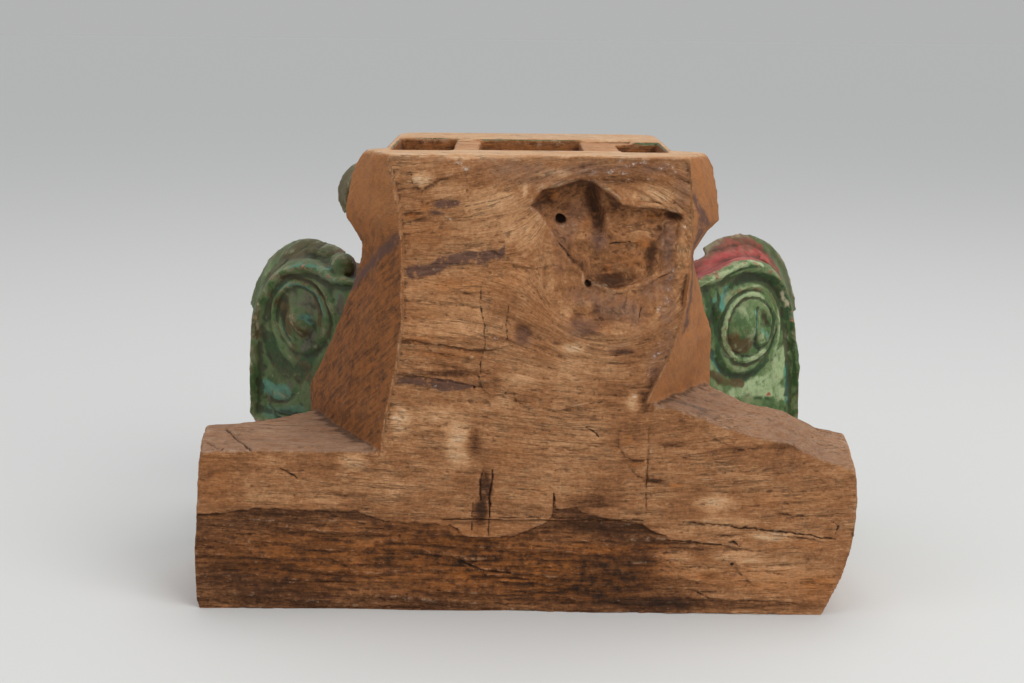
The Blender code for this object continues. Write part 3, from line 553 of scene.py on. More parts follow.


# Bare wood. Its tone, from dark to pale, lies in soft patches: what was dry stayed tan, what was damp or greasy went
# dark, fresh breaks are orange, and the wood round the knot is purple-grey. The dark patches inside the knot, in its
# pit, down its fold and under its overhanging lip, are painted shade.
TONES = [
    (-51, 131, 11, 21, 0.28), (-95, 150, 8, 14, 0.2), (-200, 100, 40, 12, 0.10), (-110, 100, 60, 12, 0.06),
    (-190, 88, 50, 6, 0.12), (-130, 118, 12, 7, 0.22), (143, 88, 18, 8, 0.24), (150, 73, 30, 6, 0.18),
    (188, 63, 17, 5, 0.32), (115, 45, 16, 6, 0.24), (125, 35, 26, 9, 0.18), (165, 46, 22, 6, 0.2),
    (195, 35, 40, 10, 0.10), (28, 108, 26, 22, 0.08), (34, 207, 11, 5, 0.26), (60, 192, 42, 10, 0.08),
    (20, 188, 30, 18, 0.10), (-5, 298, 15, 18, 0.12), (-30, 316, 22, 11, 0.16), (-60, 324, 14, 8, 0.12),
    (-78, 332, 8, 6, 0.30), (90, 322, 22, 7, 0.14), (18, 337, 15, 3, 0.2), (-3, 325, 2.5, 6, 0.25),
    (-60, 243, 40, 12, 0.08), (-58, 222, 34, 7, 0.12), (5, 258, 35, 10, 0.06), (80, 166, 7, 9, 0.24),
    (-70, 155, 30, 6, 0.12), (-20, 165, 10, 5, 0.16), (-4, 182, 8, 5, 0.14), (60, 212, 30, 14, 0.05),
    (28, 28, 66, 20, -0.30), (70, 20, 26, 14, -0.12), (-60, 44, 60, 14, -0.16), (-110, 44, 14, 9, -0.24),
    (-45, 36, 22, 7, -0.16), (-180, 32, 60, 18, -0.10), (-150, 50, 20, 8, -0.16), (-34, 80, 6, 12, -0.36),
    (-30, 100, 4.5, 14, -0.32), (-40, 134, 7, 11, -0.28), (50, 88, 27, 5, -0.20), (60, 66, 45, 6, -0.12),
    (62, 257, 14, 6, -0.24), (46, 318, 5, 13, -0.2), (52, 300, 5, 18, -0.15), (108, 306, 7, 3, -0.25),
    (51, 236, 3, 5, -0.32), (46, 221, 9, 6, -0.24), (-3, 218, 6, 8, -0.26), (71, 205, 9, 3, -0.3),
    (36, 228, 5, 6, -0.2), (96, 180, 7, 14, -0.24), (88, 166, 6, 9, -0.28), (97, 106, 7, 2, -0.38),
    (140, 31, 10, 3, -0.2), (90, 42, 8, 3, -0.26), (-27, 178, 9, 8, -0.12), (0, 168, 9, 6, -0.14),
    (78, 120, 9, 3, -0.15), (110, 134, 12, 2, -0.2), (150, 128, 18, 7, -0.12), (-85, 306, 7, 2, -0.3),
    (12, 316, 5, 5, -0.15), (90, 276, 5, 12, -0.25), (56, 332, 40, 2, -0.2), (-60, 187, 36, 2.5, -0.25),
    (-160, 92, 120, 34, -0.05), (130, 8, 90, 5, -0.22), (205, 133, 30, 4, -0.18),
]
ORANGE = [
    (-85, 212, 17, 3, 0.9), (-62, 203, 30, 4, 0.7), (-70, 235, 35, 24, 0.35), (-75, 291, 25, 9, 0.45),
    (-77, 312, 5, 4, 1.0), (-84, 304, 10, 3, 1.0), (84, 285, 6, 4, 1.0), (59, 266, 3, 4, 0.8),
    (92, 305, 8, 2, 0.8), (112, 102, 7, 1.6, 1.0), (85, 118, 8, 1.5, 0.9), (76, 137, 6, 4, 0.6),
    (120, 36, 30, 12, 0.5), (182, 28, 50, 13, 0.6), (225, 22, 15, 14, 0.7), (62, 50, 32, 5, 0.6),
    (205, 56, 22, 4, 0.6), (100, 52, 12, 4, 0.7), (-15, 264, 30, 9, 0.5), (-45, 252, 40, 8, 0.45),
    (-235, 100, 16, 30, 0.4), (15, 320, 10, 5, 0.8), (42, 300, 4, 4, 0.6), (-90, 42, 165, 30, 0.7),
    (20, 22, 90, 20, 0.45),
    (-40, 345, 7, 1.5, 0.9), (10, 235, 14, 12, 0.3), (8, 96, 14, 4, 0.5), (75, 272, 14, 6, 0.4),
    (200, 92, 40, 10, 0.3), (-10, 122, 14, 10, 0.35),
]
PURPLE = [
    (90, 341, 32, 5, 0.8), (112, 325, 6, 14, 0.6), (42, 340, 18, 6, 0.7), (0, 336, 32, 9, 0.45),
    (64, 236, 15, 12, 0.8), (80, 232, 9, 14, 0.6), (45, 246, 18, 8, 0.65), (92, 250, 10, 11, 0.7),
    (104, 240, 5, 50, 0.8), (52, 287, 8, 8, 0.75), (102, 288, 7, 16, 0.65), (26, 292, 10, 12, 0.5),
    (-2, 215, 8, 8, 0.7), (40, 222, 14, 8, 0.7), (-20, 341, 30, 6, 0.35), (95, 196, 7, 14, 0.7),
    (70, 207, 12, 5, 0.5), (24, 270, 9, 9, 0.4), (195, 118, 14, 5, 0.3), (5, 311, 6, 5, 0.6), (36, 306, 10, 12, 0.35),
]
# Painted highlights: thin pale glints where light catches the back's fibres and edges
GLINTS = [
    [(63, 342), (67, 338), (74, 336)], [(66, 347), (71, 343), (75, 342)], [(69, 343), (78, 344), (86, 345)],
    [(95, 341), (101, 339), (107, 339)], [(98, 345), (105, 342)], [(104, 336), (110, 334)], [(85, 333), (92, 334)],
    [(-54, 345), (-49, 343), (-46, 339)], [(-40, 342), (-34, 341)], [(-54, 336), (-52, 331)], [(112, 303), (114, 298)],
    [(105, 262), (104, 250), (103, 236)], [(100, 238), (96, 234)], [(101, 222), (99, 208)], [(97, 205), (93, 196)],
    [(92, 190), (88, 180)], [(80, 172), (83, 164)], [(104, 270), (107, 264)], [(-60, 304), (-55, 301)],
    [(-11, 280), (-4, 280)], [(46, 341), (48, 337)], [(72, 333), (76, 334)], [(110, 296), (113, 300)],
]
points, normals = skin()
x, d, z = points.T
up, sideways = normals[:, 2], np.abs(normals[:, 0])
near = d < 32
on_back = np.zeros(len(x))
on_back[near] = back_share(x[near], d[near], z[near], normals[near])
back = {key: np.zeros(len(x)) for key in ("cracked", "crusted", "in_knot", "nailed", "low_wood", "torn")}
found = rough_back(x[near], z[near])
for key in back:
    back[key][near] = found[key]
edge_x = x + 2.2 * flat_noise(x, z, 9, 5, 41, 3)
edge_z = z + 1.4 * flat_noise(x, z, 9, 5, 42, 3)


def patches(places):
    """Soft patches on the back, each at a place with a half width, a half height and a strength."""
    total = np.zeros(x.shape)
    for px, pz, rx, rz, strength in places:
        total += strength * smooth(1.3, 0.45, np.hypot((edge_x - px) / rx, (edge_z - pz) / rz))
    return total * on_back


# Darker below the splits, and darker inside the knot as painted shade in its hollow
tone = 0.545 + patches(TONES) - 0.235 * back["low_wood"] * on_back - 0.125 * back["in_knot"] * on_back
tone += 0.05 * on_back * back["torn"] + 0.05 * on_back * flat_noise(x, z, 18, 9, 43, 3)
orange, purple = np.clip(patches(ORANGE), 0, 1), np.clip(patches(PURPLE), 0, 1)
glint = np.zeros(len(x))
for line in GLINTS:
    signed, along = from_line(edge_x, edge_z, line, 3)
    glint = np.maximum(glint, smooth(1.0, 0.2, np.abs(signed)) * on_back)
sides = smooth(0.45, 0.8, sideways) * (1 - on_back) * (d < 150)
ends = sides * (np.abs(x) > 205)
stripe = np.where(x < 0, bell(edge_z, 262 + 0.62 * (46 - d), 6), 0) + np.where(x > 0, bell(edge_z, 322 - 1.0 * d, 7), 0)
upright = 0.9 * bell(d, 14, 7) * sides * (x > 0) * smooth(312, 300, z) * smooth(205, 225, z)
stripe = np.maximum(stripe * sides * (z > 200), upright)
crust = np.maximum(back["crusted"] * on_back, smooth(0.4, 0.7, stripe))
arm_top = smooth(0.5, 0.8, up) * (z > 90) * (z < 250) * (1 - on_back)
neck_top = smooth(0.6, 0.9, up) * (z > 346)
stained = noise(stretched(x, d, z, 30, 12, 12), 44, 3)
# Painted shade: the side faces on the left, away from the main lamp, darker up to about 260 mm, fading out by 320 mm
tone = tone - 0.215 * sides * (x < 0) * smooth(320, 260, z) - 0.03 * sides + 0.16 * ends + 0.30 * neck_top
tone -= 0.25 * smooth(0.35, 0.6, stained) * arm_top * (x > 0)
orange = np.maximum(orange, 0.65 * sides)
in_mortise = (np.abs(x) < 106) & (d > 35) & (d < 176) & (z > 303) & (z < 348)
tone -= 0.16 * in_mortise
orange = np.maximum(orange, 0.6 * in_mortise)
keep("grain", np.stack([x, d, np.where(on_back > 0.5, grain_height(x, z), z)], axis=1) / 1000)
keep("tones", np.stack([np.clip(tone, 0, 1), orange, purple], axis=1))
keep("marks", np.stack([back["cracked"] * on_back, crust, np.maximum(glint, back["nailed"] * 1.5)], axis=1))
keep("faces", np.stack([np.maximum(0.9 * arm_top, 0.3 * neck_top), sides, on_back], axis=1))


# The paint. All the carving was painted: green with turquoise and pale lights, red in the channels and on the
# ground of the bell. Much of it is worn, chipped and grimed. Strokes are drawn in each volute's own frame.
RIGHT_STROKES = {
    "pale": [
        (2.4, 0.8, [(-58, 41), (-45, 46), (-30, 51), (-15, 55), (0, 57), (10, 54)]),
        (4.5, 0.55, [(-58, 36), (-48, 41), (-36, 45)]),
        (1.6, 0.5, [(-28, 18), (-20, 29), (-8, 35.5), (6, 36), (16, 33)]),
        (1.8, 0.75, [(-26, -20), (-30, -10), (-30, 0), (-27, 12), (-20, 22), (-10, 28), (0, 29.5), (10, 27), (18, 20)]),
        (8.0, 0.3, [(-17, 14), (-8, 10), (-4, 2)]),
        (4.0, 0.6, [(11, -8), (13, -13)]),
        (3.4, 0.6, [(-26, -18), (-16, -25), (-4, -27.5), (8, -26.5), (18, -22)]),
        (2.2, 0.6, [(33, 12), (36, 0), (36, -12), (33, -24)]),
        (8.0, 0.8, [(39, -30), (37, -46), (26, -54), (10, -52)]),
        (7.0, 0.75, [(44, -64), (24, -58), (4, -54), (-12, -56)]),
        (2.0, 0.35, [(45, -6), (48, -24), (52, -48)]),
    ],
    "dark": [
        (1.5, 0.8, [(-30, 47), (-18, 50.5), (-6, 53), (8, 52)]),
        (4.2, 0.9, [(-22, 38), (-8, 43), (8, 44), (22, 40), (33, 31), (39, 20), (42, 6)]),
        (3.5, 0.9, [(-37, 22), (-36, 6), (-35, -8), (-33, -20), (-30, -30)]),
        (4.5, 0.7, [(-50, 36), (-46, 24), (-44, 12), (-41, 0)]),
        (3.0, 0.8, [(3, -10), (5, -16), (12, -20)]),
        (3.0, 0.8, [(22, 14), (28, 4), (30, -6), (28, -18), (22, -27)]),
        (4.5, 0.9, [(-32, -24), (-26, -36), (-14, -43), (0, -44), (12, -40), (22, -32)]),
        (2.2, 0.7, [(12, -64), (24, -66), (34, -68)]),
        (2.0, 0.8, [(42, 16), (47, 0), (50, -18), (54, -40), (56, -66)]),
        (2.5, 0.7, [(52, 0), (58, -20), (60, -50), (61, -76)]),
    ],
    "brown": [
        (4.0, 0.55, [(-31, 39), (-22, 42), (-14, 44)]),
        (2.2, 0.6, [(-16, 30), (-4, 33), (8, 33), (20, 29), (27, 21), (31, 10)]),
        (1.3, 0.8, [(-26, 8), (-19, 19), (-10, 25), (-2, 26)]),
        (6.0, 0.85, [(-23, -7), (-14, -12), (-4, -15)]),
        (3.5, 1.0, [(-20, -15), (-12, -19), (-4, -19)]),
        (4.0, 0.75, [(12, 12), (15, 6), (18, 2)]),
        (1.6, 0.6, [(-22, -27), (-10, -33), (4, -34), (16, -30)]),
        (4.5, 0.8, [(-38, -38), (-28, -44), (-16, -48), (-6, -49)]),
    ],
    "turquoise": [
        (2.4, 1.0, [(-27, 36), (-31, 28), (-33, 18)]),
        (2.0, 0.7, [(-36, 34), (-41, 22), (-42, 10)]),
        (2.2, 0.9, [(-38, -20), (-36, -28), (-31, -35)]),
        (1.9, 1.0, [(4, 14), (4, 8), (3, 2), (2, -4)]),
        (4.0, 0.6, [(12, -4), (18, -8), (22, -11)]),
        (2.6, 0.7, [(47, -40), (49, -58), (50, -74)]),
    ],
    "cream": [
        (1.8, 0.9, [(33, 28), (37, 23), (41, 18)]),
        (1.3, 0.9, [(41, 15), (42, 12)]),
        (1.3, 0.8, [(15, 20), (17, 18)]),
        (0.9, 0.9, [(4, -12), (5, -14)]),
        (0.9, 0.8, [(45, -10), (46, -14)]),
    ],
    "red": [
        (1.5, 0.6, [(26, -64), (28, -64)]),
    ],
}
LEFT_STROKES = {
    "turquoise": [
        (2.2, 0.75, [(8, 47), (-4, 49.5), (-18, 49.5), (-32, 47)]),
        (6.0, 0.45, [(-20, 44), (-34, 40), (-46, 34), (-40, 22)]),
        (2.0, 0.8, [(28, 24), (20, 29), (10, 31.5), (0, 31), (-10, 28), (-17, 22), (-22, 15), (-25, 6)]),
        (2.6, 1.3, [(-5, 5), (-9, 4), (-13, 1)]),
        (1.2, 0.7, [(26, 2), (22, -12), (14, -21)]),
        (8.0, 0.8, [(44, -64), (32, -68), (22, -66)]),
        (7.0, 0.6, [(44, -86), (24, -86), (4, -80)]),
    ],
    "pale": [
        (1.8, 0.6, [(27, 38), (22, 42), (10, 46)]),
        (1.1, 1.0, [(26, -76), (16, -71), (6, -65)]),
    ],
    "purple": [
        (4.0, 0.8, [(-44, 24), (-42, 12)]),
        (6.0, 0.45, [(-16, 42), (-26, 36), (-34, 26)]),
        (7.0, 0.6, [(-14, 12), (-4, 20), (8, 18)]),
        (5.0, 0.7, [(-14, -8), (-8, -18), (0, -24)]),
        (4.0, 0.6, [(20, -58), (12, -62)]),
    ],
    "brown": [
        (2.0, 1.0, [(24, 36), (10, 37), (0, 36), (-10, 34), (-18, 30), (-26, 21)]),
        (1.6, 0.8, [(-26, 21), (-30, 12), (-31, 0), (-28, -12)]),
        (2.2, 0.9, [(-15, 22), (-19, 14), (-21, 6), (-20, -2)]),
        (7.0, 0.95, [(24, 12), (20, 2), (14, -8)]),
        (5.0, 0.9, [(14, 10), (6, 0), (-4, -10)]),
        (7.0, 0.6, [(8, -26), (0, -38), (-6, -48)]),
        (5.0, 0.8, [(44, 30), (50, 18), (53, 2), (54, -18)]),
        (4.0, 0.5, [(34, 22), (38, 8), (38, -10)]),
        (1.3, 0.9, [(48, -75), (36, -77), (26, -76)]),
    ],
    "cream": [
        (3.0, 0.4, [(18, 22), (12, 17)]),
        (1.3, 0.9, [(47, 12), (46, 6)]),
        (1.5, 0.9, [(56, 4), (55, -4)]),
        (1.2, 0.9, [(50, -8), (50, -13)]),
        (1.6, 0.9, [(58, -40), (57, -47)]),
        (1.4, 0.7, [(40, -52), (37, -55)]),
        (1.0, 0.7, [(44, -2), (43, -6)]),
    ],
    "dark": [
        (9.0, 1.0, [(40, -22), (34, -36), (20, -46)]),
        (8.0, 1.0, [(-12, -22), (-4, -36), (6, -48)]),
        (3.0, 0.8, [(58, -20), (60, -44), (61, -70)]),
        (2.5, 0.7, [(40, -80), (34, -84)]),
    ],
}
left_back = np.interp(z, [0, 125, 140, 166, 226, 277, 314, 350], [150, 150, 151, 137, 96, 70, 62, 58])
right_back = np.interp(z, [0, 125, 150, 168, 226, 277, 314, 350], [140, 140, 125, 104, 83, 68, 60, 54])
torn_edge = 2.5 * noise(stretched(x, d, z, 5, 5, 5), 45, 3)
painted = smooth(-1, 1.5, d - np.where(x < 0, left_back, right_back) + torn_edge)
painted *= 1 - np.maximum(in_mortise * 1.0, neck_top * (np.abs(x) < 118))
painted *= 1 - smooth(3, 1, z) * smooth(-0.3, -0.7, up)
coats = {name: np.zeros(len(x)) for name in ("red", "pale", "turquoise", "dark", "brown", "cream", "purple")}


def lay(name, strength):
    """Adds one colour where it is stronger than what is there."""
    coats[name] = np.maximum(coats[name], strength)


grime = 0.12 + 0.12 * noise(stretched(x, d, z, 20, 20, 20), 46, 2)
for side, strokes in ((-1, LEFT_STROKES), (1, RIGHT_STROKES)):
    p, q, h, angle, edge, toward = volute_frame(points, side)
    r = np.hypot(p, q)
    here = (side * x > 110) & (z > 86) & (d > 110) & (r < edge * 1.2 + 14)
    across = -h / (RIM_REACH * math.cos(TURN))
    face = here * smooth(0.1, 0.4, normals @ toward) * (np.abs(h) < 22)
    wp = p + 0.9 * noise(stretched(p, h, q, 5, 5, 5), 47, 3)
    wq = q + 0.9 * noise(stretched(p, h, q, 5, 5, 5), 48, 3)
    for name in strokes:
        for half, strength, line in strokes[name]:
            signed, along = from_line(wp, wq, line, 2 * half + 2)
            lay(name, strength * face * smooth(1.45 * half, 0.55 * half, np.abs(signed)))
    rim = here * (1 - face) * smooth(0.0, 0.08, across) * smooth(0.6, 0.35, normals[:, 1])
    wavy = across + 0.035 * noise(stretched(p, h, q, 9, 9, 9), 49, 3)
    if side > 0:
        channel = rim * smooth(0.03, 0.08, wavy) * smooth(172, 158, angle)
        ends_at = smooth(18, 44, angle + 26 * (wavy - 0.4))
        lay("red", channel * ends_at * smooth(1.16, 1.08, wavy))
        lay("cream", 0.42 * channel * ends_at * bell(wavy, 0.98, 0.09))
        lay("brown", 0.65 * rim * smooth(75, 40, angle))
        lay("cream", 0.38 * rim * bell(angle, 42, 22))
        lay("pale", 0.4 * channel * smooth(1.08, 1.16, wavy))
        lay("brown", 0.5 * channel * smooth(1.05, 1.2, wavy))
    else:
        channel = rim * smooth(0.40, 0.52, wavy) * smooth(98, 106, angle + 8 * torn_edge) * smooth(150, 142, angle)
        lay("red", channel)
        lay("cream", 0.5 * channel)
        lay("cream", 0.4 * rim * bell(angle, 84, 10) * smooth(0.6, 0.9, wavy))
        lay("brown", 0.62 * rim * smooth(95, 75, angle))
        grime = np.where(here, grime + 0.20, grime)
    grime = np.where(here & (r > edge), grime + 0.1, grime)
    outer = (side * x > 110) * (z > 86) * (d > 110) * (1 - face) * smooth(0.6, 1.0, across)
    grime += 0.35 * outer
    lay("cream", 0.3 * outer * (side > 0))

# Round the bell, where the photograph doesn't show it: red ground, green leaves with pale lips, a red fillet
levels = [40, 105, 150, 200, 250, 290, 320, 350]
half = np.interp(z, levels, [148, 148, 136, 128, 119, 113, 111, 109])
front = np.interp(z, levels, [261, 261, 251, 246, 242, 238, 238, 235])
power = np.interp(z, levels, [3, 3, 3.2, 3.4, 4, 6, 9, 12])
middle, reach = 0.5 * (30 + front), 0.5 * (front - 30)
out = (np.abs(x / half) ** power + np.abs((d - middle) / reach) ** power) ** (1 / power)
proud = (out - 1) * np.minimum(half, reach)
ground = smooth(3.4, 2.0, proud) * smooth(108, 112, z) * smooth(292, 282, z) * (d > 100)
fillet = smooth(62, 66, z) * smooth(97, 92, z) * (d > 140) * (proud > 12)
lay("red", np.maximum(0.85 * ground, 0.8 * fillet))
on_leaf = (proud > 3.5) & (z > 112) & (np.abs(x) < 125) & (d > 150)
lights = smooth(0.0, 0.6, noise(stretched(x, d, z, 12, 12, 16), 50, 2))
lay("pale", on_leaf * (0.25 + 0.45 * lights))
board = (z < 60) & (d > 150) & (proud > 8)
lay("turquoise", board * (0.25 + 0.4 * lights))
petals = (z > 288) & (proud > 3) & (z < 346)
# Pale paint on the petals, stronger on their upward faces as a painted highlight from above
lay("pale", petals * (0.2 + 0.2 * smooth(0.5, 0.9, up)))
lay("brown", petals * 0.8 * smooth(-60, -80, x + 8 * torn_edge))
neck = (z > 300) & (proud < 4) & (d > 40)
grime += 0.35 * neck
keep("paint", np.stack([painted, np.clip(grime, 0, 1), coats["purple"]], axis=1))
keep("colours", np.stack([coats["red"], coats["pale"], coats["turquoise"]], axis=1))
keep("shades", np.stack([coats["dark"], coats["brown"], coats["cream"]], axis=1))


# The finish: bare weathered hardwood with paint over it where the masks say
class Shade:
    """A socket whose arithmetic adds Math nodes."""

    def __init__(self, tree, socket):
        self.tree, self.socket = tree, socket

    def node(self, kind, settings=None, out=0, **values):
        """Adds a node with its settings, feeds its sockets by name or as i0, i1 and so on, and gives one output."""
        made = self.tree.nodes.new(kind)
        for name, value in (settings or {}).items():
            if name == "stops":
                ramp = made.color_ramp
                while len(ramp.elements) < len(value):
                    ramp.elements.new(0.5)
                for element, (place, colour) in zip(ramp.elements, value):
                    element.position, element.color = place, (*colour, 1)
            else:
                setattr(made, name, value)
        for name, value in values.items():
            counted = name[0] == "i" and name[1:].isdigit()
            socket = made.inputs[int(name[1:])] if counted else made.inputs[name.replace("_", " ")]
            if isinstance(value, Shade):
                self.tree.links.new(value.socket, socket)
            else:
                socket.default_value = value
        return Shade(self.tree, made.outputs[out])

    def maths(self, operation, other, swap=False):
        a, b = (other, self) if swap else (self, other)
        return self.node("ShaderNodeMath", {"operation": operation}, i0=a, i1=b)

    def __add__(self, other):
        return self.maths("ADD", other)

    def __sub__(self, other):
        return self.maths("SUBTRACT", other)

    def __rsub__(self, other):
        return self.maths("SUBTRACT", other, swap=True)

    def __mul__(self, other):
        return self.maths("MULTIPLY", other)

    __radd__, __rmul__ = __add__, __mul__

    def over(self, low, high):
        """0 below low, 1 above high, and smooth between."""
        settings = {"interpolation_type": "SMOOTHSTEP"}
        return self.node("ShaderNodeMapRange", settings, Value=self, From_Min=low, From_Max=high)

    def mix(self, colour, share):
        """This colour with another laid over it."""
        return self.node("ShaderNodeMix", {"data_type": "RGBA"}, out=2, i0=share, i6=self, i7=colour)


finish = bpy.data.materials.new("painted_wood")
finish.use_nodes = True
tree = finish.node_tree
shader = tree.nodes["Principled BSDF"]
sheet = Shade(tree, None)


def mask(name):
    """The three parts of one stored vector."""
    stored = sheet.node("ShaderNodeAttribute", {"attribute_name": name}, out=1)
    return [stored.node("ShaderNodeSeparateXYZ", out=i, Vector=stored) for i in range(3)]


def grained(scale, detail=3.0, rough=0.55, stretch=None, turn=(0.0, 0.0, 0.0)):
    """Noise by place, or along the fibres where a stretch is given, turned first where a turn is."""
    if stretch is None:
        place = sheet.node("ShaderNodeTexCoord", out=3)
    else:
        place = sheet.node("ShaderNodeAttribute", {"attribute_name": "grain"}, out=1)
        place = sheet.node("ShaderNodeMapping", Vector=place, Rotation=turn)
        place = sheet.node("ShaderNodeVectorMath", {"operation": "MULTIPLY"}, i0=place, i1=stretch)
    return sheet.node("ShaderNodeTexNoise", out=0, Vector=place, Scale=scale, Detail=detail, Roughness=rough)


tone, orange, purple = mask("tones")
crack, crust, glint = mask("marks")
weathered, sawn, back_face = mask("faces")
# Hollowness: painted shade darkens the colour there, and the paint holds on there
hollow = sheet.node("ShaderNodeAttribute", {"attribute_name": "hollow"}, out=2) * (1 - 0.75 * sawn)
paint, grime, purple_coat = mask("paint")
red, pale, turquoise = mask("colours")
dark_coat, brown_coat, cream = mask("shades")

along_fibres = grained(1.0, 5, 0.7, (30.0, 130.0, 330.0))
scratches = grained(1.0, 4, 0.65, (60.0, 45.0, 420.0), (0.7, 0.0, 0.0))
streak = along_fibres * (1 - sawn) + scratches * sawn
splits = grained(1.0, 4, 0.62, (13.0, 120.0, 210.0)) - 0.5
long_splits = (1 - (splits * splits).over(0.00004, 0.0008)) * (1 - sawn)
fine = grained(1.0, 4, 0.65, (150.0, 500.0, 1300.0))
thread = grained(1.0, 3, 0.6, (45.0, 300.0, 2200.0))
broad = grained(22.0, 5, 0.6)
fleck = grained(420.0, 4, 0.7)
speck = grained(130.0, 5, 0.7)
# Raised parts: the colour is lightened there as a painted highlight, and the paint chips off there
proud = 0 - hollow

WOOD = [(0.0, (0.016, 0.007, 0.003)), (0.24, (0.085, 0.030, 0.009)), (0.50, (0.285, 0.119, 0.044)),
        (0.74, (0.50, 0.262, 0.120)), (1.0, (0.68, 0.46, 0.28))]
grainy = (streak - 0.5) * 0.38 + (fine - 0.5) * 0.44 + (thread - 0.5) * 0.26 + (broad - 0.5) * 0.50
grainy = grainy + (fleck - 0.5) * 0.40 + (speck - 0.5) * 0.36
varied = tone + grainy * (1 - 0.5 * sawn)
wood = sheet.node("ShaderNodeValToRGB", {"stops": WOOD}, Fac=varied)
wood = wood.mix((0.42, 0.135, 0.024, 1), orange * (0.5 * streak + 0.5 * speck).over(0.38, 0.60) * 0.68)
wood = wood.mix((0.130, 0.068, 0.052, 1), purple * (0.5 * speck + 0.5 * broad).over(0.36, 0.56) * 0.72)
wood = wood.mix((0.225, 0.160, 0.118, 1), weathered * (0.6 * fine + 0.4 * streak).over(0.30, 0.60) * 0.66)
wood = wood.mix((0.084, 0.037, 0.027, 1), crust * speck.over(0.34, 0.48) * 0.86)
# Painted highlight: paler specks on the raised parts of the bare wood
wood = wood.mix((0.54, 0.38, 0.25, 1), proud.over(0.30, 0.95) * speck.over(0.46, 0.62) * 0.30)
shaken = long_splits * (0.5 * broad + 0.5 * speck).over(0.47, 0.58)
wood = wood.mix((0.060, 0.026, 0.011, 1), shaken * 0.55)
# Painted shade: the bare wood darker in the hollows
wood = wood.mix((0.052, 0.021, 0.009, 1), hollow.over(0.12, 0.85) * 0.72)
# Painted shade: the cracks and holes near-black, for the shade inside them
wood = wood.mix((0.020, 0.009, 0.005, 1), crack.over(0.20, 0.9) * 0.80)
# Painted highlights for the glints; the nail heads get the same pale colour
wood = wood.mix((0.70, 0.66, 0.62, 1), glint * (fleck + speck).over(1.0, 1.2) * 0.62)

brushed = grained(1.0, 4, 0.65, (150.0, 150.0, 70.0))
patch = grained(60.0, 5, 0.68)
GREEN = [(0.34, (0.020, 0.044, 0.010)), (0.45, (0.062, 0.120, 0.034)), (0.535, (0.150, 0.212, 0.082)),
         (0.63, (0.33, 0.38, 0.19))]
LIGHT_GREEN = [(0.38, (0.17, 0.24, 0.10)), (0.60, (0.46, 0.56, 0.30))]


def worn_to(coat_mask, low, high):
    """A coat with a ragged edge, and none where its mask is empty."""
    return (coat_mask + ragged).over(low, high) * coat_mask.over(0.0, 0.2)


coat = sheet.node("ShaderNodeValToRGB", {"stops": GREEN}, Fac=0.35 * patch + 0.25 * brushed + 0.2 * broad + 0.2 * speck)
ragged = (patch - 0.5) * 1.1 + (speck - 0.5) * 1.0 + (brushed - 0.5) * 0.6
light = sheet.node("ShaderNodeValToRGB", {"stops": LIGHT_GREEN}, Fac=0.5 * brushed + 0.5 * speck)
coat = coat.mix(light, worn_to(pale, 0.25, 0.75) * 0.90)
coat = coat.mix((0.085, 0.285, 0.205, 1), worn_to(turquoise, 0.30, 0.80) * 0.90)
coat = coat.mix((0.013, 0.046, 0.010, 1), worn_to(dark_coat, 0.28, 0.80) * 0.88)
coat = coat.mix((0.125, 0.105, 0.090, 1), worn_to(purple_coat, 0.28, 0.80) * 0.8)
coat = coat.mix((0.33, 0.030, 0.026, 1), (red + ragged * 0.45).over(0.20, 0.55) * red.over(0.0, 0.2))
# Paler red in patches, and on raised parts as a painted highlight
coat = coat.mix((0.50, 0.150, 0.115, 1), red * (proud.over(-0.15, 0.35) + patch.over(0.45, 0.65)) * 0.38)
coat = coat.mix((0.085, 0.044, 0.010, 1), worn_to(brown_coat, 0.28, 0.80) * 0.88)
coat = coat.mix((0.52, 0.46, 0.30, 1), worn_to(cream, 0.35, 0.85) * 0.85)
coat = coat.mix((0.060, 0.045, 0.015, 1), (grime * 1.4 + ragged * 0.7).over(0.12, 0.85) * 0.78)
coat = coat.mix((0.100, 0.070, 0.022, 1), (0.5 * brushed + 0.5 * speck).over(0.52, 0.62) * 0.40)
# Painted shade: the paint darker in the hollows
coat = coat.mix((0.018, 0.018, 0.006, 1), hollow.over(0.04, 0.60) * 0.72)
# Painted highlight: paler green on the raised parts
coat = coat.mix((0.30, 0.33, 0.19, 1), proud.over(0.15, 0.60) * (0.5 * speck + 0.5 * patch).over(0.46, 0.60) * 0.45)
chip = 0.5 * grained(170.0, 5, 0.7) + 0.5 * speck
kept = (paint + (chip - 0.5) * 1.2 + hollow * 0.15).over(0.36, 0.46)
kept = kept * (1 - proud.over(0.45, 1.1) * chip.over(0.52, 0.60))
colour = wood.mix(coat, kept)
tree.links.new(colour.socket, shader.inputs["Base Color"])
rough = 0.90 - kept * 0.34 + (fleck - 0.5) * 0.25 - crust * 0.2 - purple * back_face * 0.16
tree.links.new(rough.socket, shader.inputs["Roughness"])
bare_relief = streak * 0.7 + fine * 0.8 + thread * 0.35 + fleck * 0.55 + speck * 0.5 - shaken * 0.6
height = bare_relief * (1 - kept) + (patch * 0.5 + brushed * 0.4 + fleck * 0.2 + speck * 0.4) * kept + kept * 0.2
bumped = sheet.node("ShaderNodeBump", Strength=0.75, Distance=0.0015, Height=height)
tree.links.new(bumped.socket, shader.inputs["Normal"])
shader.inputs["Specular IOR Level"].default_value = 0.32

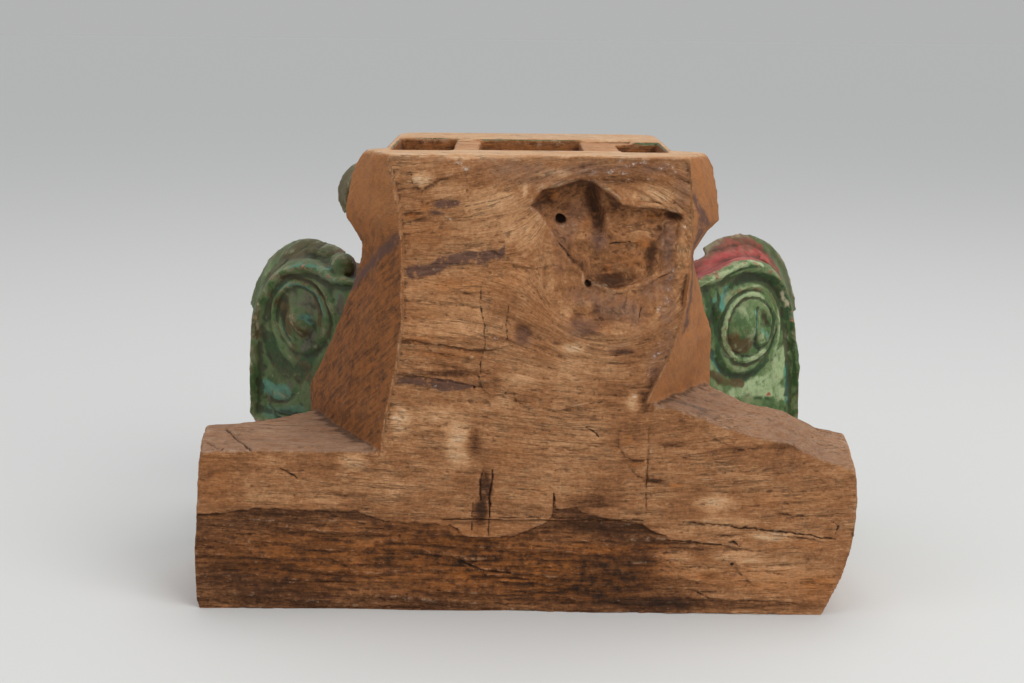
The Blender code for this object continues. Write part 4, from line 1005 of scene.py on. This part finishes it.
capital.data.materials.clear()
capital.data.materials.append(finish)
bpy.ops.object.select_all(action="DESELECT")
capital.select_set(True)
bpy.context.view_layer.objects.active = capital
bpy.ops.object.shade_smooth_by_angle(angle=math.radians(60))
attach(capital, "root")
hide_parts("wooden_capital")

# The stand: a plain pale floor, soft light and the camera
bpy.ops.mesh.primitive_plane_add(size=60)
floor = bpy.context.object
floor.name = "floor"
pale = bpy.data.materials.new("pale_floor")
pale.use_nodes = True
pale.node_tree.nodes["Principled BSDF"].inputs["Base Color"].default_value = (0.60, 0.595, 0.575, 1)
pale.node_tree.nodes["Principled BSDF"].inputs["Roughness"].default_value = 0.8
floor.data.materials.append(pale)

world = bpy.data.worlds.new("studio")
world.use_nodes = True
sky = Shade(world.node_tree, None)
HORIZON, SKY = (0.597, 0.602, 0.602, 1), (0.95, 0.97, 1.0, 1)
sky = sky.node("ShaderNodeSeparateXYZ", out=2, Vector=sky.node("ShaderNodeTexCoord", out=0)).over(0.02, 0.30)
sky = sky.node("ShaderNodeMix", {"data_type": "RGBA"}, out=2, i0=sky, i6=HORIZON, i7=SKY)
world.node_tree.links.new(sky.socket, world.node_tree.nodes["Background"].inputs["Color"])
world.node_tree.nodes["Background"].inputs["Strength"].default_value = 0.75
bpy.context.scene.world = world

LIGHTS = [("window", (1.6, -1.7, 1.9), 1.8, 42), ("fill", (-2.0, -1.2, 1.2), 1.8, 9), ("top", (0.2, 0.6, 2.6), 1.6, 16)]
for name, place, size, power in LIGHTS:
    bpy.ops.object.light_add(type="AREA", location=place)
    lamp = bpy.context.object
    lamp.name = name
    lamp.data.size = size
    lamp.data.energy = power
    aim = Matrix.Translation((0, 0, 0.17)).translation - lamp.location
    lamp.rotation_euler = aim.to_track_quat("-Z", "Y").to_euler()

CAMERA_PLACE = (-0.0115, -1.404, 0.4505)
CAMERA_TILT, CAMERA_ROLL = math.radians(79.15), 0.0098
bpy.ops.object.camera_add()
camera = bpy.context.object
camera.data.lens = 60
camera.matrix_world = (
    Matrix.Translation(CAMERA_PLACE) @ Matrix.Rotation(CAMERA_TILT, 4, "X") @ Matrix.Rotation(CAMERA_ROLL, 4, "Z")
)
bpy.context.scene.camera = camera
bpy.context.scene.view_settings.view_transform = "Standard"
